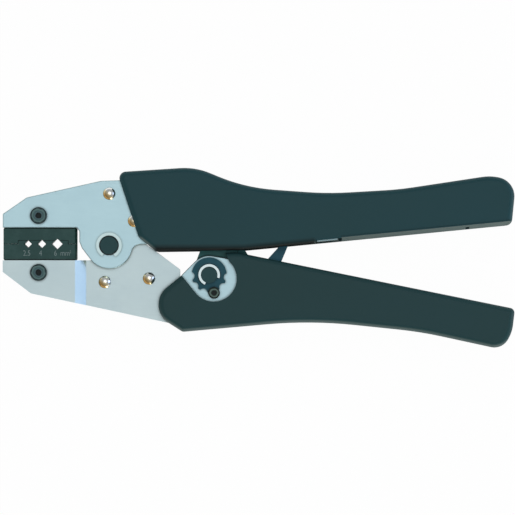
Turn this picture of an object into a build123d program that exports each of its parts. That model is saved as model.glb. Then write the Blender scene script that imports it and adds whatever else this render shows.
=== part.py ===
from build123d import *

# Ratchet crimping tool for round pin contacts, lying flat on its back.
#
# Row frame: +X along the handles, away from the jaws; +Y from the moving lower
# handle to the fixed upper handle; +Z up, through the thickness. The origin is
# under the middle of the tool, on the surface it lies on. Millimetres.
#
# Heights called z below are measured from the tool's mid-plane:
#
#   outer layer   upper (fixed) plates, lower handle plates, lower jaw at its die
#   inner layer   lower jaw plates behind their joggle
#   middle        spacers, toggle link with its ratchet sector, pawl, springs
#
# Squeezing the lower handle turns it on the handle pivot. The toggle link
# braces it against the upper handle, so the handle pivot pushes the rear of
# the lower jaw down, which closes the dies.

import os
from math import asin, atan2, cos, degrees, radians, sin, tan

# ---- Thickness --------------------------------------------------------------
GRIP_THICKNESS = 22.0  # both plastic shells together
PLATE_THICKNESS = 3.0  # every stamped steel plate
JAW_GAP = 9.0  # between the outer plates
LAYER_GAP = 0.1  # between the outer layer and the inner one
LINK_THICKNESS = 8.4  # three laminations
SECTOR_THICKNESS = 4.0  # the middle one
PAWL_THICKNESS = 4.0

# ---- Clearances -------------------------------------------------------------
FIT = 0.05  # radial, a pin in its hole; also each side of a die's foot
SEAT_GAP = 0.2  # plastic over steel
TANG_GAP = 0.3  # steel edge inside a shell's wall
BOSS_GAP = 0.3  # radial, a shell's boss in its hole through the plates
OPEN_PIVOT_GAP = 1.2  # radial, link eye round its pin: the loop is opened here
DIE_GAP = 0.04  # between the closed dies
CHEEK_GAP = 0.2  # round the lower die's cheeks in the upper die
PAWL_TIP_GAP = 0.3  # pawl nose to tooth tips
HOOK_GAP = 0.2  # radial, a spring's hook round its pin
PLATE_EDGE = 0.4  # rounding of the stamped edges

# ---- Pivots -----------------------------------------------------------------
MAIN_PIVOT = (-64.0, 5.4)
HANDLE_PIVOT = (-33.6, -18.5)
TOGGLE_PIVOT = (-21.0, -7.6)
LINK_PIVOT = (-11.2, 18.0)
PAWL_PIVOT = (3.8, -9.0)
MAIN_PIN_R = 4.25
HANDLE_PIN_R = 3.2
LINK_PIN_R = 3.0
PAWL_PIN_R = 1.75
MAIN_PIN_STAND = 1.6  # pin ends above the plates
MAIN_PIN_CHAMFER = 0.4

# ---- Retaining rings --------------------------------------------------------
RING_THICKNESS = 1.0
MAIN_RING_WALL = 1.25  # outside the pin
ADJUSTING_RING_WALL = 1.05
RING_GROOVE = 0.6
RING_LIFT = 0.1  # over the face below
MAIN_RING_OPENING = 60.0  # degrees
MAIN_RING_MOUTH = -92.0  # direction of the opening, degrees from +X
ADJUSTING_RING_OPENING = 96.0
ADJUSTING_RING_MOUTH = -66.0

# ---- Upper (fixed) jaw and plates -------------------------------------------
JAW_AXIS_Y = 6.0  # the dies meet on this line
JAW_TIP_X = -109.6
UPPER_TIP_RISE = 5.9  # straight end of the jaw above its die
UPPER_SHOULDER = (-99.3, 26.0)
UPPER_BROW = (-67.5, 33.1)
UPPER_HEAD_END = (-42.0, 34.0)  # under the grip
UPPER_HEAD_ROOT = (-42.0, 5.9)
THROAT_TOP = (-76.7, 11.4)
THROAT_BOTTOM = (-76.7, 6.9)
THROAT_CHEEK = (-75.6, 4.2)
MAIN_EYE_R = 10.0  # lobe round the main pivot
LOBE_TANGENT = 215.0  # degrees, where the throat's edge meets the lobe
LOBE_FILLET = 4.0
TANG_END_X = 87.7
TANG_LAP = 2.0  # of the tang over the head's root
LUG_X = (24.9, 34.4)  # locating lug that shows in the grip's window
LUG_EDGE = 0.75  # inside the grip's outer edge

# ---- Lower (moving) jaw -----------------------------------------------------
JOGGLE_LEAD = 0.8  # it starts this far before the die's heel
JOGGLE_LENGTH = 4.7
LOWER_EYE_R = 9.8
LOWER_TIP_DROP = 5.0
LOWER_CHIN = (-97.5, -15.2)
JAW_HEEL = (-36.0, -26.3)
JAW_HEEL_R = 2.6
JAW_BELLY = (-38.5, -27.9)
JAW_SHOULDER = (-34.8, -5.5)
JAW_FLANK = (-34.6, -16.0)  # straight down from the shoulder
JAW_SHOULDER_R = 1.2
JAW_REAR_EYE_R = 6.4

# ---- Dies -------------------------------------------------------------------
DIE_SETBACK = 0.3  # of the dies' outer ends behind the jaw tips
DIE_LENGTH = 31.5
DIE_HEAD_HEIGHT = 7.0
DIE_HEAD_THICKNESS = 13.0
DIE_FOOT_LENGTH = 17.0
DIE_FOOT_HEIGHT = 9.4
DIE_CHAMFER = 0.5
DIE_SEAT_EDGE = 0.4  # broken edges beside the seats
DIE_FACE_EDGE = 0.2  # broken edges of the mating faces
DIE_HEEL_BEVEL = 0.9  # along the die, at the end by the pivot
DIE_HEEL_BEVEL_DEPTH = 2.4
DIE_SCREW_RUN = 15.1  # from the dies' outer ends
DIE_SCREW_OFFSET = 12.2  # from the jaw axis
NESTS = ((10.5, 1.65), (16.4, 1.85), (23.0, 2.35))  # from the outer ends, half diagonal
CHEEK_RUN = (6.4, 27.7)  # from the outer ends
CHEEK_HEIGHT = 1.4
CHEEK_THICKNESS = 1.8

# ---- Screws and rivets ------------------------------------------------------
DIE_SCREW_R = 2.0
DIE_SCREW_HEAD_R = 3.6
DIE_SCREW_HEAD_HEIGHT = 2.6
DIE_SCREW_HEAD_EDGE = 0.5
DIE_SCREW_SOCKET_R = 1.45  # hexagon, to its corners
DIE_SCREW_SOCKET_DEPTH = 1.6
RIVET_R = 1.6
RIVET_HEAD_R = 2.65
RIVET_HEAD_HEIGHT = 1.3
UPPER_RIVETS = ((-63.9, 27.6), (-53.3, 15.9))
LOWER_RIVETS = ((-65.9, -10.3), (-46.9, -8.8))
SPACER_MARGIN = 1.8  # spacer plates round their rivets
LOWER_SPACER_MARGIN = 3.4
SPACER_TUBE_WALL = 1.8
UPPER_TAIL_RIVETS = ((44.0, 19.2), (74.0, 21.5))
LOWER_TAIL_RIVETS = ((46.0, -19.0), (74.0, -24.0))

# ---- Adjusting pin and wheel ------------------------------------------------
ECCENTRICITY = 0.35
ECCENTRIC_R = 4.2
JOURNAL_R = 3.55
ADJUSTING_PIN_STAND = 3.2  # pin ends above the handle plates
WHEEL_R = 7.5
WHEEL_THICKNESS = 1.6
NOTCH_COUNT = 6
NOTCH_PITCH = 33.8  # degrees
FIRST_NOTCH = 183.6  # degrees from +X
LOCKED_NOTCH = 3  # the lock screw stands in this one
NOTCH_R = 1.75
NOTCH_PLACE_R = 8.0
LOCK_SCREW_R = 1.25
LOCK_SCREW_HEAD_R = 2.5
LOCK_SCREW_HEAD_HEIGHT = 1.4
LOCK_SCREW_HEAD_EDGE = 0.3
LOCK_SCREW_SOCKET_R = 1.2
LOCK_SCREW_SOCKET_DEPTH = 0.9

# ---- Toggle link and ratchet ------------------------------------------------
LINK_HUB_R = 7.5
LINK_EYE_R = 7.5
LINK_RIVET_R = 1.2
SECTOR_R = 18.8
SECTOR_START = -68.0  # degrees from +X
SECTOR_END = 50.0
FIRST_TOOTH = -64.0
TOOTH_COUNT = 12
TOOTH_PITCH = 5.0
TOOTH_LEAN = 4.0  # the tip's lead over the root, degrees
TOOTH_DEPTH = 1.3
PAWL_EYE_R = 3.5
PAWL_NOSE_R = 0.8
LEVER_ROOT_REACH = 5.8
LEVER_ROOT_ANGLE = 71.4
LEVER_ROOT_R = 3.2
LEVER_LENGTH = 11.8  # from its root
LEVER_ANGLE = 57.3
LEVER_TIP_R = 1.2

# ---- Springs ----------------------------------------------------------------
RETURN_HOOK = (-2.4, 13.2)  # on the link
RETURN_POST = (26.0, 12.6)
RETURN_HOOK_PIN_R = 1.1
RETURN_POST_R = 1.5
RETURN_COIL_R = 2.4
RETURN_WIRE_R = 0.4
HOOK_EAR_MARGIN = 1.5
PAWL_LUG_REACH = 5.6
PAWL_LUG_ANGLE = 22.0
PAWL_LUG_R = 1.8
PAWL_STUD_R = 0.8
PAWL_STUD_HEIGHT = 2.2
PAWL_POST = (24.0, -10.0)
PAWL_COIL_R = 1.0
PAWL_WIRE_R = 0.25
HOOK_LENGTH = 3.4  # from a hook's pin to the first coil

# ---- Grips ------------------------------------------------------------------
# Corners of each outline, each with the radius of its rounding.
UPPER_GRIP = (
    (-43.5, 2.5, 3.0),
    (-51.2, 8.8, 4.0),
    (-60.5, 36.8, 2.8),
    (-26.8, 39.0, 29.0),
    (-5.8, 30.2, 78.0),
    (29.7, 27.6, 148.0),
    (60.4, 29.4, 128.0),
    (99.5, 35.3, 20.0),
    (110.6, 33.1, 8.3),
    (108.7, 14.1, 3.0),
    (-6.1, 3.0, 60.0),
)
LOWER_GRIP = (
    (-32.9, -7.5, 0.8),
    (-42.8, -15.5, 9.0),
    (-42.6, -25.2, 9.0),
    (-32.4, -31.7, 2.4),
    (22.3, -26.8, 197.0),
    (69.5, -31.7, 165.0),
    (104.6, -39.3, 6.8),
    (108.9, -31.9, 16.0),
    (110.1, -21.8, 2.2),
    (-8.7, 2.3, 8.0),
    (-14.0, 2.1, 0.8),
)
GRIP_WALL = 2.6
GRIP_EDGE_R = 2.4
SEAM_EDGE = 0.3  # broken edges where the two shells meet
MOUTH_SKIN = 1.2  # of the upper front shell over its mouth
MOUTH_SKIN_WIDTH = 1.8
UPPER_MOUTH_X = (-52.0, 19.2)
GRIP_BAND = 1.8  # slanted face along the upper grip's inner edge
GRIP_BAND_SLOPE = 44.0  # degrees from the flat face
GRIP_BAND_STEP = 0.75  # the ledge at its top: this wide, and as far below the face
GRIP_NICK_X = (88.9, 90.4)  # small slot in that face
GRIP_NICK_DEPTH = 1.0
GRIP_NICK_FLOOR = 5.0  # above the mid-plane
LOWER_MOUTH_X = (-44.0, -21.0)
LOWER_MOUTH_Y = (-34.0, -5.0)
LOWER_TOP_MOUTH_X = (-34.0, 12.5)
LOWER_TOP_MOUTH_Y = (-7.0, 4.0)
WINDOW_CENTRE = (-19.1, -8.8)
WINDOW_R = 9.9
WINDOW_TOP = ((-14.0, 2.1), (-12.3, -1.8))
WINDOW_EDGE_TURN = 45.0  # from the grip's tip to where the straight edge meets the round
HANDLE_HUB_R = 8.6  # lower plates round the toggle pivot
HANDLE_TIP = (-31.5, -7.8)  # their corner at the grip's tip
HANDLE_TIP_R = 1.3
HANDLE_EYE_R = 6.6  # round the handle pivot
PAWL_BOSS_R = 5.6  # round the pawl's pivot
LUG_WINDOW_DEPTH = 1.5
LUG_WINDOW_END = 1.4  # past the lug
UPPER_GRIP_SCREWS = ((-38.0, 25.5), (59.0, 20.2), (98.0, 24.5))
LOWER_GRIP_SCREWS = ((17.0, -18.5), (60.0, -21.5), (98.0, -28.8))
GRIP_SCREW_R = 1.5
GRIP_SCREW_HEAD_R = 2.8
GRIP_SCREW_HEAD_HEIGHT = 1.7
GRIP_SCREW_SINK = 2.4
GRIP_SCREW_REACH = 7.0
GRIP_BOSS_R = 3.2

# ---- Worked out from the values above ---------------------------------------
MID_Z = GRIP_THICKNESS / 2
OUTER_IN = JAW_GAP / 2
OUTER_OUT = OUTER_IN + PLATE_THICKNESS
INNER_OUT = OUTER_IN - LAYER_GAP
INNER_IN = INNER_OUT - PLATE_THICKNESS
LINK_OUT = LINK_THICKNESS / 2
SECTOR_OUT = SECTOR_THICKNESS / 2
PAWL_OUT = PAWL_THICKNESS / 2
ROOF_Z = OUTER_OUT + SEAT_GAP  # inner face of the shells
MOUTH_Z = OUTER_IN + LAYER_GAP  # slots in the shells' walls for the inner layer
MIDDLE = Plane.XY.offset(MID_Z)
UPPER_EDGE_Y = JAW_AXIS_Y + DIE_HEAD_HEIGHT
LOWER_EDGE_Y = JAW_AXIS_Y - DIE_HEAD_HEIGHT
DIE_START_X = JAW_TIP_X + DIE_SETBACK
DIE_END_X = DIE_START_X + DIE_LENGTH
DIE_SCREW_X = DIE_START_X + DIE_SCREW_RUN
JOGGLE_START_X = DIE_END_X - JOGGLE_LEAD
JOGGLE_END_X = JOGGLE_START_X + JOGGLE_LENGTH
ADJUSTING_AXIS = (TOGGLE_PIVOT[0], TOGGLE_PIVOT[1] + ECCENTRICITY)
WHEEL_Z = OUTER_OUT + RING_LIFT
WHEEL_TOP = WHEEL_Z + WHEEL_THICKNESS
BIG = 4 * GRIP_THICKNESS  # longer than any piece is thick or wide

os.makedirs("parts", exist_ok=True)


# ---- Helpers ----------------------------------------------------------------
def layer(z):
    """The plane parallel to the tool at height z above its mid-plane."""
    return Plane.XY.offset(MID_Z + z)


def polar(centre, radius, angle):
    """The point at a radius and an angle in degrees from a centre."""
    return (
        centre[0] + radius * cos(radians(angle)),
        centre[1] + radius * sin(radians(angle)),
    )


def bearing(start, end):
    """The direction from one point to another, in degrees."""
    return degrees(atan2(end[1] - start[1], end[0] - start[0]))


def finish(builder, name):
    """Labels a finished piece and writes it as parts/NAME.step."""
    builder.part.label = name
    export_step(builder.part, f"parts/{name}.step")


def mirrored(builder):
    """The same piece on the other side of the mid-plane."""
    with BuildPart() as twin:
        mirror(builder.part, about=MIDDLE)
    return twin


def rounded(corners):
    """A closed outline of straight runs joined by the corners' arcs."""
    with BuildSketch() as outline:
        with BuildLine():
            FilletPolyline(
                *[(x, y) for x, y, _ in corners],
                radius=[r for _, _, r in corners],
                close=True,
            )
        make_face()
    return outline.sketch


def hull(*discs):
    """The outline stretched round discs, each given as a centre and a radius."""
    with BuildSketch() as outline:
        for centre, radius in discs:
            with Locations(centre):
                Circle(radius)
        make_hull()
    return outline.sketch


def disc(centre, radius):
    """One round outline."""
    with BuildSketch() as outline:
        with Locations(centre):
            Circle(radius)
    return outline.sketch


def shifted(outline, amount):
    """An outline moved out by an amount, or in where it is negative."""
    with BuildSketch() as moved:
        offset(outline, amount=amount)
    return moved.sketch


def block(x_range, y_range):
    """A rectangle between two pairs of limits."""
    with BuildSketch() as outline:
        with Locations(((x_range[0] + x_range[1]) / 2, (y_range[0] + y_range[1]) / 2)):
            Rectangle(x_range[1] - x_range[0], y_range[1] - y_range[0])
    return outline.sketch


def slab(outline, z_low, z_high):
    """An outline made solid between two heights."""
    with BuildPart() as shape:
        with BuildSketch(layer(z_low)):
            add(outline)
        extrude(amount=z_high - z_low)
    return shape.part


def rods(points, radius, z_low, z_high):
    """Upright cylinders of one radius at the given points."""
    with BuildPart() as shape:
        with BuildSketch(layer(z_low)):
            with Locations(*points):
                Circle(radius)
        extrude(amount=z_high - z_low)
    return shape.part


def rim_edges(builder, z):
    """The edges round the outline of a piece's face at height z."""
    face = builder.faces().filter_by(Axis.Z).sort_by(lambda f: abs(f.center().Z - MID_Z - z))[0]
    return face.outer_wire().edges()


def plate(outline, z_low, bores):
    """A stamped plate from z_low up, with bores given as points and a radius."""
    with BuildPart() as steel:
        add(slab(outline, z_low, z_low + PLATE_THICKNESS))
        fillet(rim_edges(steel, z_low + PLATE_THICKNESS), PLATE_EDGE)
        for points, radius in bores:
            add(rods(points, radius, -BIG, BIG), mode=Mode.SUBTRACT)
    return steel


def socket(point, radius, depth, z_top):
    """The hexagon socket of a screw head whose face is at z_top."""
    with BuildPart() as shape:
        with BuildSketch(layer(z_top - depth)):
            with Locations(point):
                RegularPolygon(radius, 6)
        extrude(amount=depth)
    return shape.part


def rivets(points, z_face):
    """Rivets through a stack of half thickness z_face, domed on both faces."""
    cap_r = (RIVET_HEAD_R**2 + RIVET_HEAD_HEIGHT**2) / (2 * RIVET_HEAD_HEIGHT)
    half_way = asin(RIVET_HEAD_R / cap_r) / 2
    with BuildPart() as dome:
        with BuildSketch(Plane.XZ):
            with BuildLine():
                ThreePointArc(
                    (0, RIVET_HEAD_HEIGHT),
                    (
                        cap_r * sin(half_way),
                        RIVET_HEAD_HEIGHT - cap_r * (1 - cos(half_way)),
                    ),
                    (RIVET_HEAD_R, 0),
                )
                Polyline((RIVET_HEAD_R, 0), (0, 0), (0, RIVET_HEAD_HEIGHT))
            make_face()
        revolve(axis=Axis.Z)
    with BuildPart() as row:
        add(rods(points, RIVET_R, -z_face, z_face))
        with Locations(*[(x, y, MID_Z + z_face) for x, y in points]):
            add(dome.part)
        mirror(about=MIDDLE)
    return row


def retaining_ring(axis, pin_r, wall, mouth, opening, z_low):
    """An open ring in a pin's groove: its mouth's direction and width in degrees."""
    with BuildPart() as ring:
        with BuildSketch(layer(z_low)):
            with Locations(axis):
                Circle(pin_r + wall)
                Circle(pin_r - RING_GROOVE + FIT, mode=Mode.SUBTRACT)
            with BuildLine():
                reach = 2 * (pin_r + wall)
                Polyline(
                    axis,
                    polar(axis, reach, mouth - opening / 2),
                    polar(axis, reach, mouth + opening / 2),
                    axis,
                )
            make_face(mode=Mode.SUBTRACT)
        extrude(amount=RING_THICKNESS)
    return ring.part


def ring_groove(axis, pin_r, z_low):
    """What a retaining ring's groove takes from its pin."""
    low = z_low - FIT
    high = z_low + RING_THICKNESS + FIT
    with BuildPart() as groove:
        add(rods([axis], pin_r + MAIN_RING_WALL, low, high))
        add(rods([axis], pin_r - RING_GROOVE, low, high), mode=Mode.SUBTRACT)
    return groove.part


def extension_spring(start, end, pin_radii, coil_r, wire_r, z):
    """A spring along the line between two pins, hooked round both.

    The close-wound coil is a tube of its outer size. Each hook is a ring
    round its pin and a straight wire up to the coil.
    """
    turn = bearing(start, end)
    run = ((end[0] - start[0]) ** 2 + (end[1] - start[1]) ** 2) ** 0.5
    along = Plane(
        origin=(start[0], start[1], MID_Z + z),
        x_dir=(0, 0, 1),
        z_dir=(cos(radians(turn)), sin(radians(turn)), 0),
    )
    with BuildPart() as spring:
        with BuildSketch(along.offset(HOOK_LENGTH)):
            Circle(coil_r)
            Circle(coil_r - 2 * wire_r, mode=Mode.SUBTRACT)
        extrude(amount=run - 2 * HOOK_LENGTH)
        for point, pin_r, heading in zip((start, end), pin_radii, (turn, turn + 180)):
            ring_r = pin_r + HOOK_GAP + wire_r
            with BuildSketch(
                Plane(
                    origin=(point[0], point[1], MID_Z + z),
                    x_dir=(cos(radians(heading)), sin(radians(heading)), 0),
                    z_dir=(-sin(radians(heading)), cos(radians(heading)), 0),
                )
            ):
                with Locations((ring_r, 0)):
                    Circle(wire_r)
            revolve(axis=Axis((point[0], point[1], 0), (0, 0, 1)))
            with BuildSketch(
                Plane(
                    origin=(*polar(point, ring_r, heading), MID_Z + z),
                    x_dir=(0, 0, 1),
                    z_dir=(cos(radians(heading)), sin(radians(heading)), 0),
                )
            ):
                Circle(wire_r)
            extrude(amount=HOOK_LENGTH - ring_r + wire_r)
            with BuildSketch(
                Plane(
                    origin=(*polar(point, HOOK_LENGTH, heading), MID_Z + z),
                    x_dir=(0, 0, 1),
                    z_dir=(cos(radians(heading)), sin(radians(heading)), 0),
                )
            ):
                Circle(coil_r)
            extrude(amount=2 * wire_r)
    return spring


# ---- Outlines ---------------------------------------------------------------
upper_grip_outline = rounded(UPPER_GRIP)
lower_grip_outline = rounded(LOWER_GRIP)


def tang(grip_outline, start_x):
    """The part of a plate that fills its grip, from start_x to the tang's end."""
    with BuildSketch() as outline:
        add(shifted(grip_outline, -GRIP_WALL - TANG_GAP))
        add(block((start_x, TANG_END_X), (-BIG, BIG)), mode=Mode.INTERSECT)
    return outline.sketch


with BuildSketch() as upper_head:
    with BuildLine():
        Polyline(
            (JAW_TIP_X, UPPER_EDGE_Y),
            (JAW_TIP_X, UPPER_EDGE_Y + UPPER_TIP_RISE),
            UPPER_SHOULDER,
            UPPER_BROW,
            UPPER_HEAD_END,
            UPPER_HEAD_ROOT,
            (MAIN_PIVOT[0], UPPER_HEAD_ROOT[1]),
            MAIN_PIVOT,
            polar(MAIN_PIVOT, MAIN_EYE_R, LOBE_TANGENT),
            THROAT_CHEEK,
            THROAT_BOTTOM,
            THROAT_TOP,
            (DIE_END_X, UPPER_EDGE_Y),
            (JAW_TIP_X, UPPER_EDGE_Y),
        )
    make_face()
    add(disc(MAIN_PIVOT, MAIN_EYE_R))
    lobe_corner = (MAIN_PIVOT[0] + MAIN_EYE_R, UPPER_HEAD_ROOT[1])
    fillet(upper_head.vertices().sort_by_distance((*lobe_corner, 0))[0], LOBE_FILLET)

with BuildSketch() as upper_lug:
    add(shifted(upper_grip_outline, -LUG_EDGE))
    add(block(LUG_X, (-BIG, MAIN_PIVOT[1] + GRIP_WALL + MAIN_EYE_R)), mode=Mode.INTERSECT)

with BuildSketch() as upper_plate_outline:
    add(upper_head.sketch)
    add(tang(upper_grip_outline, UPPER_HEAD_END[0] - TANG_LAP))
    add(upper_lug.sketch)

with BuildSketch() as lower_plate_outline:
    add(
        hull(
            (TOGGLE_PIVOT, HANDLE_HUB_R),
            (HANDLE_TIP, HANDLE_TIP_R),
            (HANDLE_PIVOT, HANDLE_EYE_R),
            (PAWL_PIVOT, PAWL_BOSS_R),
        )
    )
    add(tang(lower_grip_outline, HANDLE_PIVOT[0]))

with BuildSketch() as lower_jaw_outline:
    with BuildLine():
        Polyline(
            (JAW_TIP_X, LOWER_EDGE_Y),
            (MAIN_PIVOT[0], LOWER_EDGE_Y),
            HANDLE_PIVOT,
            JAW_BELLY,
            LOWER_CHIN,
            (JAW_TIP_X, LOWER_EDGE_Y - LOWER_TIP_DROP),
            (JAW_TIP_X, LOWER_EDGE_Y),
        )
    make_face()
    add(
        hull(
            (MAIN_PIVOT, LOWER_EYE_R),
            (JAW_SHOULDER, JAW_SHOULDER_R),
            (JAW_FLANK, JAW_SHOULDER_R),
            (JAW_HEEL, JAW_HEEL_R),
        )
    )
    add(hull((HANDLE_PIVOT, JAW_REAR_EYE_R), (JAW_HEEL, JAW_HEEL_R)))

# ---- Steel plates -----------------------------------------------------------
upper_plate_front = plate(
    upper_plate_outline.sketch,
    OUTER_IN,
    (
        ([MAIN_PIVOT], MAIN_PIN_R + FIT),
        ([LINK_PIVOT], LINK_PIN_R + FIT),
        ([(DIE_SCREW_X, JAW_AXIS_Y + DIE_SCREW_OFFSET)], DIE_SCREW_R + FIT),
        ([*UPPER_RIVETS, *UPPER_TAIL_RIVETS], RIVET_R + FIT),
        ([RETURN_POST], RETURN_POST_R + FIT),
        (UPPER_GRIP_SCREWS, GRIP_BOSS_R + BOSS_GAP),
    ),
)
finish(upper_plate_front, "upper_plate_front")
upper_plate_rear = mirrored(upper_plate_front)
finish(upper_plate_rear, "upper_plate_rear")

lower_handle_plate_front = plate(
    lower_plate_outline.sketch,
    OUTER_IN,
    (
        ([ADJUSTING_AXIS], JOURNAL_R + FIT),
        ([HANDLE_PIVOT], HANDLE_PIN_R + FIT),
        ([PAWL_PIVOT], PAWL_PIN_R + FIT),
        ([PAWL_POST], PAWL_STUD_R + FIT),
        (LOWER_TAIL_RIVETS, RIVET_R + FIT),
        (LOWER_GRIP_SCREWS, GRIP_BOSS_R + BOSS_GAP),
    ),
)
lower_handle_plate_rear = mirrored(lower_handle_plate_front)
lock_screw_point = polar(ADJUSTING_AXIS, NOTCH_PLACE_R, FIRST_NOTCH + LOCKED_NOTCH * NOTCH_PITCH)
with lower_handle_plate_front:
    add(rods([lock_screw_point], LOCK_SCREW_R + FIT, -BIG, BIG), mode=Mode.SUBTRACT)
finish(lower_handle_plate_front, "lower_handle_plate_front")
finish(lower_handle_plate_rear, "lower_handle_plate_rear")

with BuildPart() as lower_jaw_plate_front:
    # The plate's thickness line: outer layer at the die, then a joggle inwards.
    with BuildSketch(Plane.XZ):
        with BuildLine():
            Polyline(
                (JAW_TIP_X, MID_Z + OUTER_IN),
                (JOGGLE_START_X, MID_Z + OUTER_IN),
                (JOGGLE_END_X, MID_Z + INNER_IN),
                (0, MID_Z + INNER_IN),
                (0, MID_Z + INNER_OUT),
                (JOGGLE_END_X, MID_Z + INNER_OUT),
                (JOGGLE_START_X, MID_Z + OUTER_OUT),
                (JAW_TIP_X, MID_Z + OUTER_OUT),
                (JAW_TIP_X, MID_Z + OUTER_IN),
            )
        make_face()
    extrude(amount=BIG, both=True)
    add(slab(lower_jaw_outline.sketch, -BIG, BIG), mode=Mode.INTERSECT)
    add(rods([MAIN_PIVOT], MAIN_PIN_R + FIT, -BIG, BIG), mode=Mode.SUBTRACT)
    add(rods([HANDLE_PIVOT], HANDLE_PIN_R + FIT, -BIG, BIG), mode=Mode.SUBTRACT)
    add(rods(LOWER_RIVETS, RIVET_R + FIT, -BIG, BIG), mode=Mode.SUBTRACT)
    lower_die_screw_point = (DIE_SCREW_X, JAW_AXIS_Y - DIE_SCREW_OFFSET)
    add(rods([lower_die_screw_point], DIE_SCREW_R + FIT, -BIG, BIG), mode=Mode.SUBTRACT)
finish(lower_jaw_plate_front, "lower_jaw_plate_front")
lower_jaw_plate_rear = mirrored(lower_jaw_plate_front)
finish(lower_jaw_plate_rear, "lower_jaw_plate_rear")

with BuildPart() as head_spacer:
    margin_r = RIVET_R + SPACER_MARGIN
    add(slab(hull(*[(point, margin_r) for point in UPPER_RIVETS]), -OUTER_IN, OUTER_IN))
    add(rods(UPPER_RIVETS, RIVET_R + FIT, -BIG, BIG), mode=Mode.SUBTRACT)
finish(head_spacer, "head_spacer")

with BuildPart() as lower_jaw_spacer:
    margin_r = RIVET_R + LOWER_SPACER_MARGIN
    add(slab(hull(*[(point, margin_r) for point in LOWER_RIVETS]), -INNER_IN, INNER_IN))
    add(rods(LOWER_RIVETS, RIVET_R + FIT, -BIG, BIG), mode=Mode.SUBTRACT)
finish(lower_jaw_spacer, "lower_jaw_spacer")

finish(rivets(UPPER_RIVETS, OUTER_OUT), "head_rivets")
finish(rivets(LOWER_RIVETS, INNER_OUT), "lower_jaw_rivets")

for side, points in (("upper", UPPER_TAIL_RIVETS), ("lower", LOWER_TAIL_RIVETS)):
    with BuildPart() as tail_rivets:
        add(rods(points, RIVET_R, -OUTER_OUT, OUTER_OUT))
    finish(tail_rivets, f"{side}_handle_rivets")
    with BuildPart() as tail_spacers:
        add(rods(points, RIVET_R + SPACER_TUBE_WALL, -OUTER_IN, OUTER_IN))
        add(rods(points, RIVET_R + FIT, -BIG, BIG), mode=Mode.SUBTRACT)
    finish(tail_spacers, f"{side}_handle_spacers")

# ---- Dies -------------------------------------------------------------------
def die_blank(side):
    """A die with its nests: side is 1 for the upper one, -1 for the lower."""
    face_y = JAW_AXIS_Y + side * DIE_GAP / 2
    seat_y = JAW_AXIS_Y + side * DIE_HEAD_HEIGHT
    end_y = seat_y + side * DIE_FOOT_HEIGHT
    head_x = (DIE_START_X, DIE_END_X)
    foot_x = (DIE_SCREW_X - DIE_FOOT_LENGTH / 2, DIE_SCREW_X + DIE_FOOT_LENGTH / 2)
    foot_out = OUTER_IN - FIT
    head_out = DIE_HEAD_THICKNESS / 2
    seat, mating = (-1, 0) if side > 0 else (0, -1)  # which end of a list sorted by Y
    with BuildPart() as die:
        add(slab(block(head_x, sorted((face_y, seat_y))), -head_out, head_out))
        chamfer(die.edges().filter_by(Axis.Z).group_by(Axis.Y)[seat], DIE_CHAMFER)
        heel = die.faces().sort_by(Axis.X)[-1]
        heel_rims = heel.edges().filter_by(Axis.Y)
        chamfer(heel_rims, DIE_HEEL_BEVEL_DEPTH, DIE_HEEL_BEVEL, reference=heel)
        chamfer(die.edges().filter_by(Axis.X).group_by(Axis.Y)[seat], DIE_SEAT_EDGE)
        chamfer(die.edges().filter_by(Axis.X).group_by(Axis.Y)[mating], DIE_FACE_EDGE)
        add(slab(block(foot_x, sorted((seat_y, end_y))), -foot_out, foot_out))
    return die


def nests():
    """The diamond holes through both dies, on the jaw axis."""
    with BuildPart() as holes:
        with BuildSketch(layer(-BIG)):
            for run, half in NESTS:
                with Locations((DIE_START_X + run, JAW_AXIS_Y)):
                    RegularPolygon(half, 4)
        extrude(amount=2 * BIG)
    return holes.part


def cheek_slabs(gap):
    """The guide cheeks at both faces of the lower die, grown by a gap."""
    head_out = DIE_HEAD_THICKNESS / 2
    x_range = (DIE_START_X + CHEEK_RUN[0] - gap, DIE_START_X + CHEEK_RUN[1] + gap)
    foot_y = JAW_AXIS_Y - DIE_GAP / 2 - DIE_FACE_EDGE
    y_range = (foot_y - gap, JAW_AXIS_Y + CHEEK_HEIGHT + gap)
    with BuildPart() as cheeks:
        add(slab(block(x_range, y_range), head_out - CHEEK_THICKNESS - gap, head_out))
        mirror(about=MIDDLE)
    return cheeks.part


upper_die = die_blank(1)
with upper_die:
    add(cheek_slabs(CHEEK_GAP), mode=Mode.SUBTRACT)
    add(nests(), mode=Mode.SUBTRACT)
    upper_screw_point = (DIE_SCREW_X, JAW_AXIS_Y + DIE_SCREW_OFFSET)
    add(rods([upper_screw_point], DIE_SCREW_R + FIT, -BIG, BIG), mode=Mode.SUBTRACT)
finish(upper_die, "upper_die")

lower_die = die_blank(-1)
with lower_die:
    add(cheek_slabs(0))
    add(nests(), mode=Mode.SUBTRACT)
    add(rods([lower_die_screw_point], DIE_SCREW_R + FIT, -BIG, BIG), mode=Mode.SUBTRACT)
finish(lower_die, "lower_die")

for side, point in (("upper", upper_screw_point), ("lower", lower_die_screw_point)):
    with BuildPart() as die_screw:
        head_top = OUTER_OUT + DIE_SCREW_HEAD_HEIGHT
        add(rods([point], DIE_SCREW_R, -OUTER_OUT, OUTER_OUT))
        add(rods([point], DIE_SCREW_HEAD_R, OUTER_OUT, head_top))
        chamfer(rim_edges(die_screw, head_top), DIE_SCREW_HEAD_EDGE)
        add(
            socket(point, DIE_SCREW_SOCKET_R, DIE_SCREW_SOCKET_DEPTH, head_top),
            mode=Mode.SUBTRACT,
        )
    finish(die_screw, f"{side}_die_screw")

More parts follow.
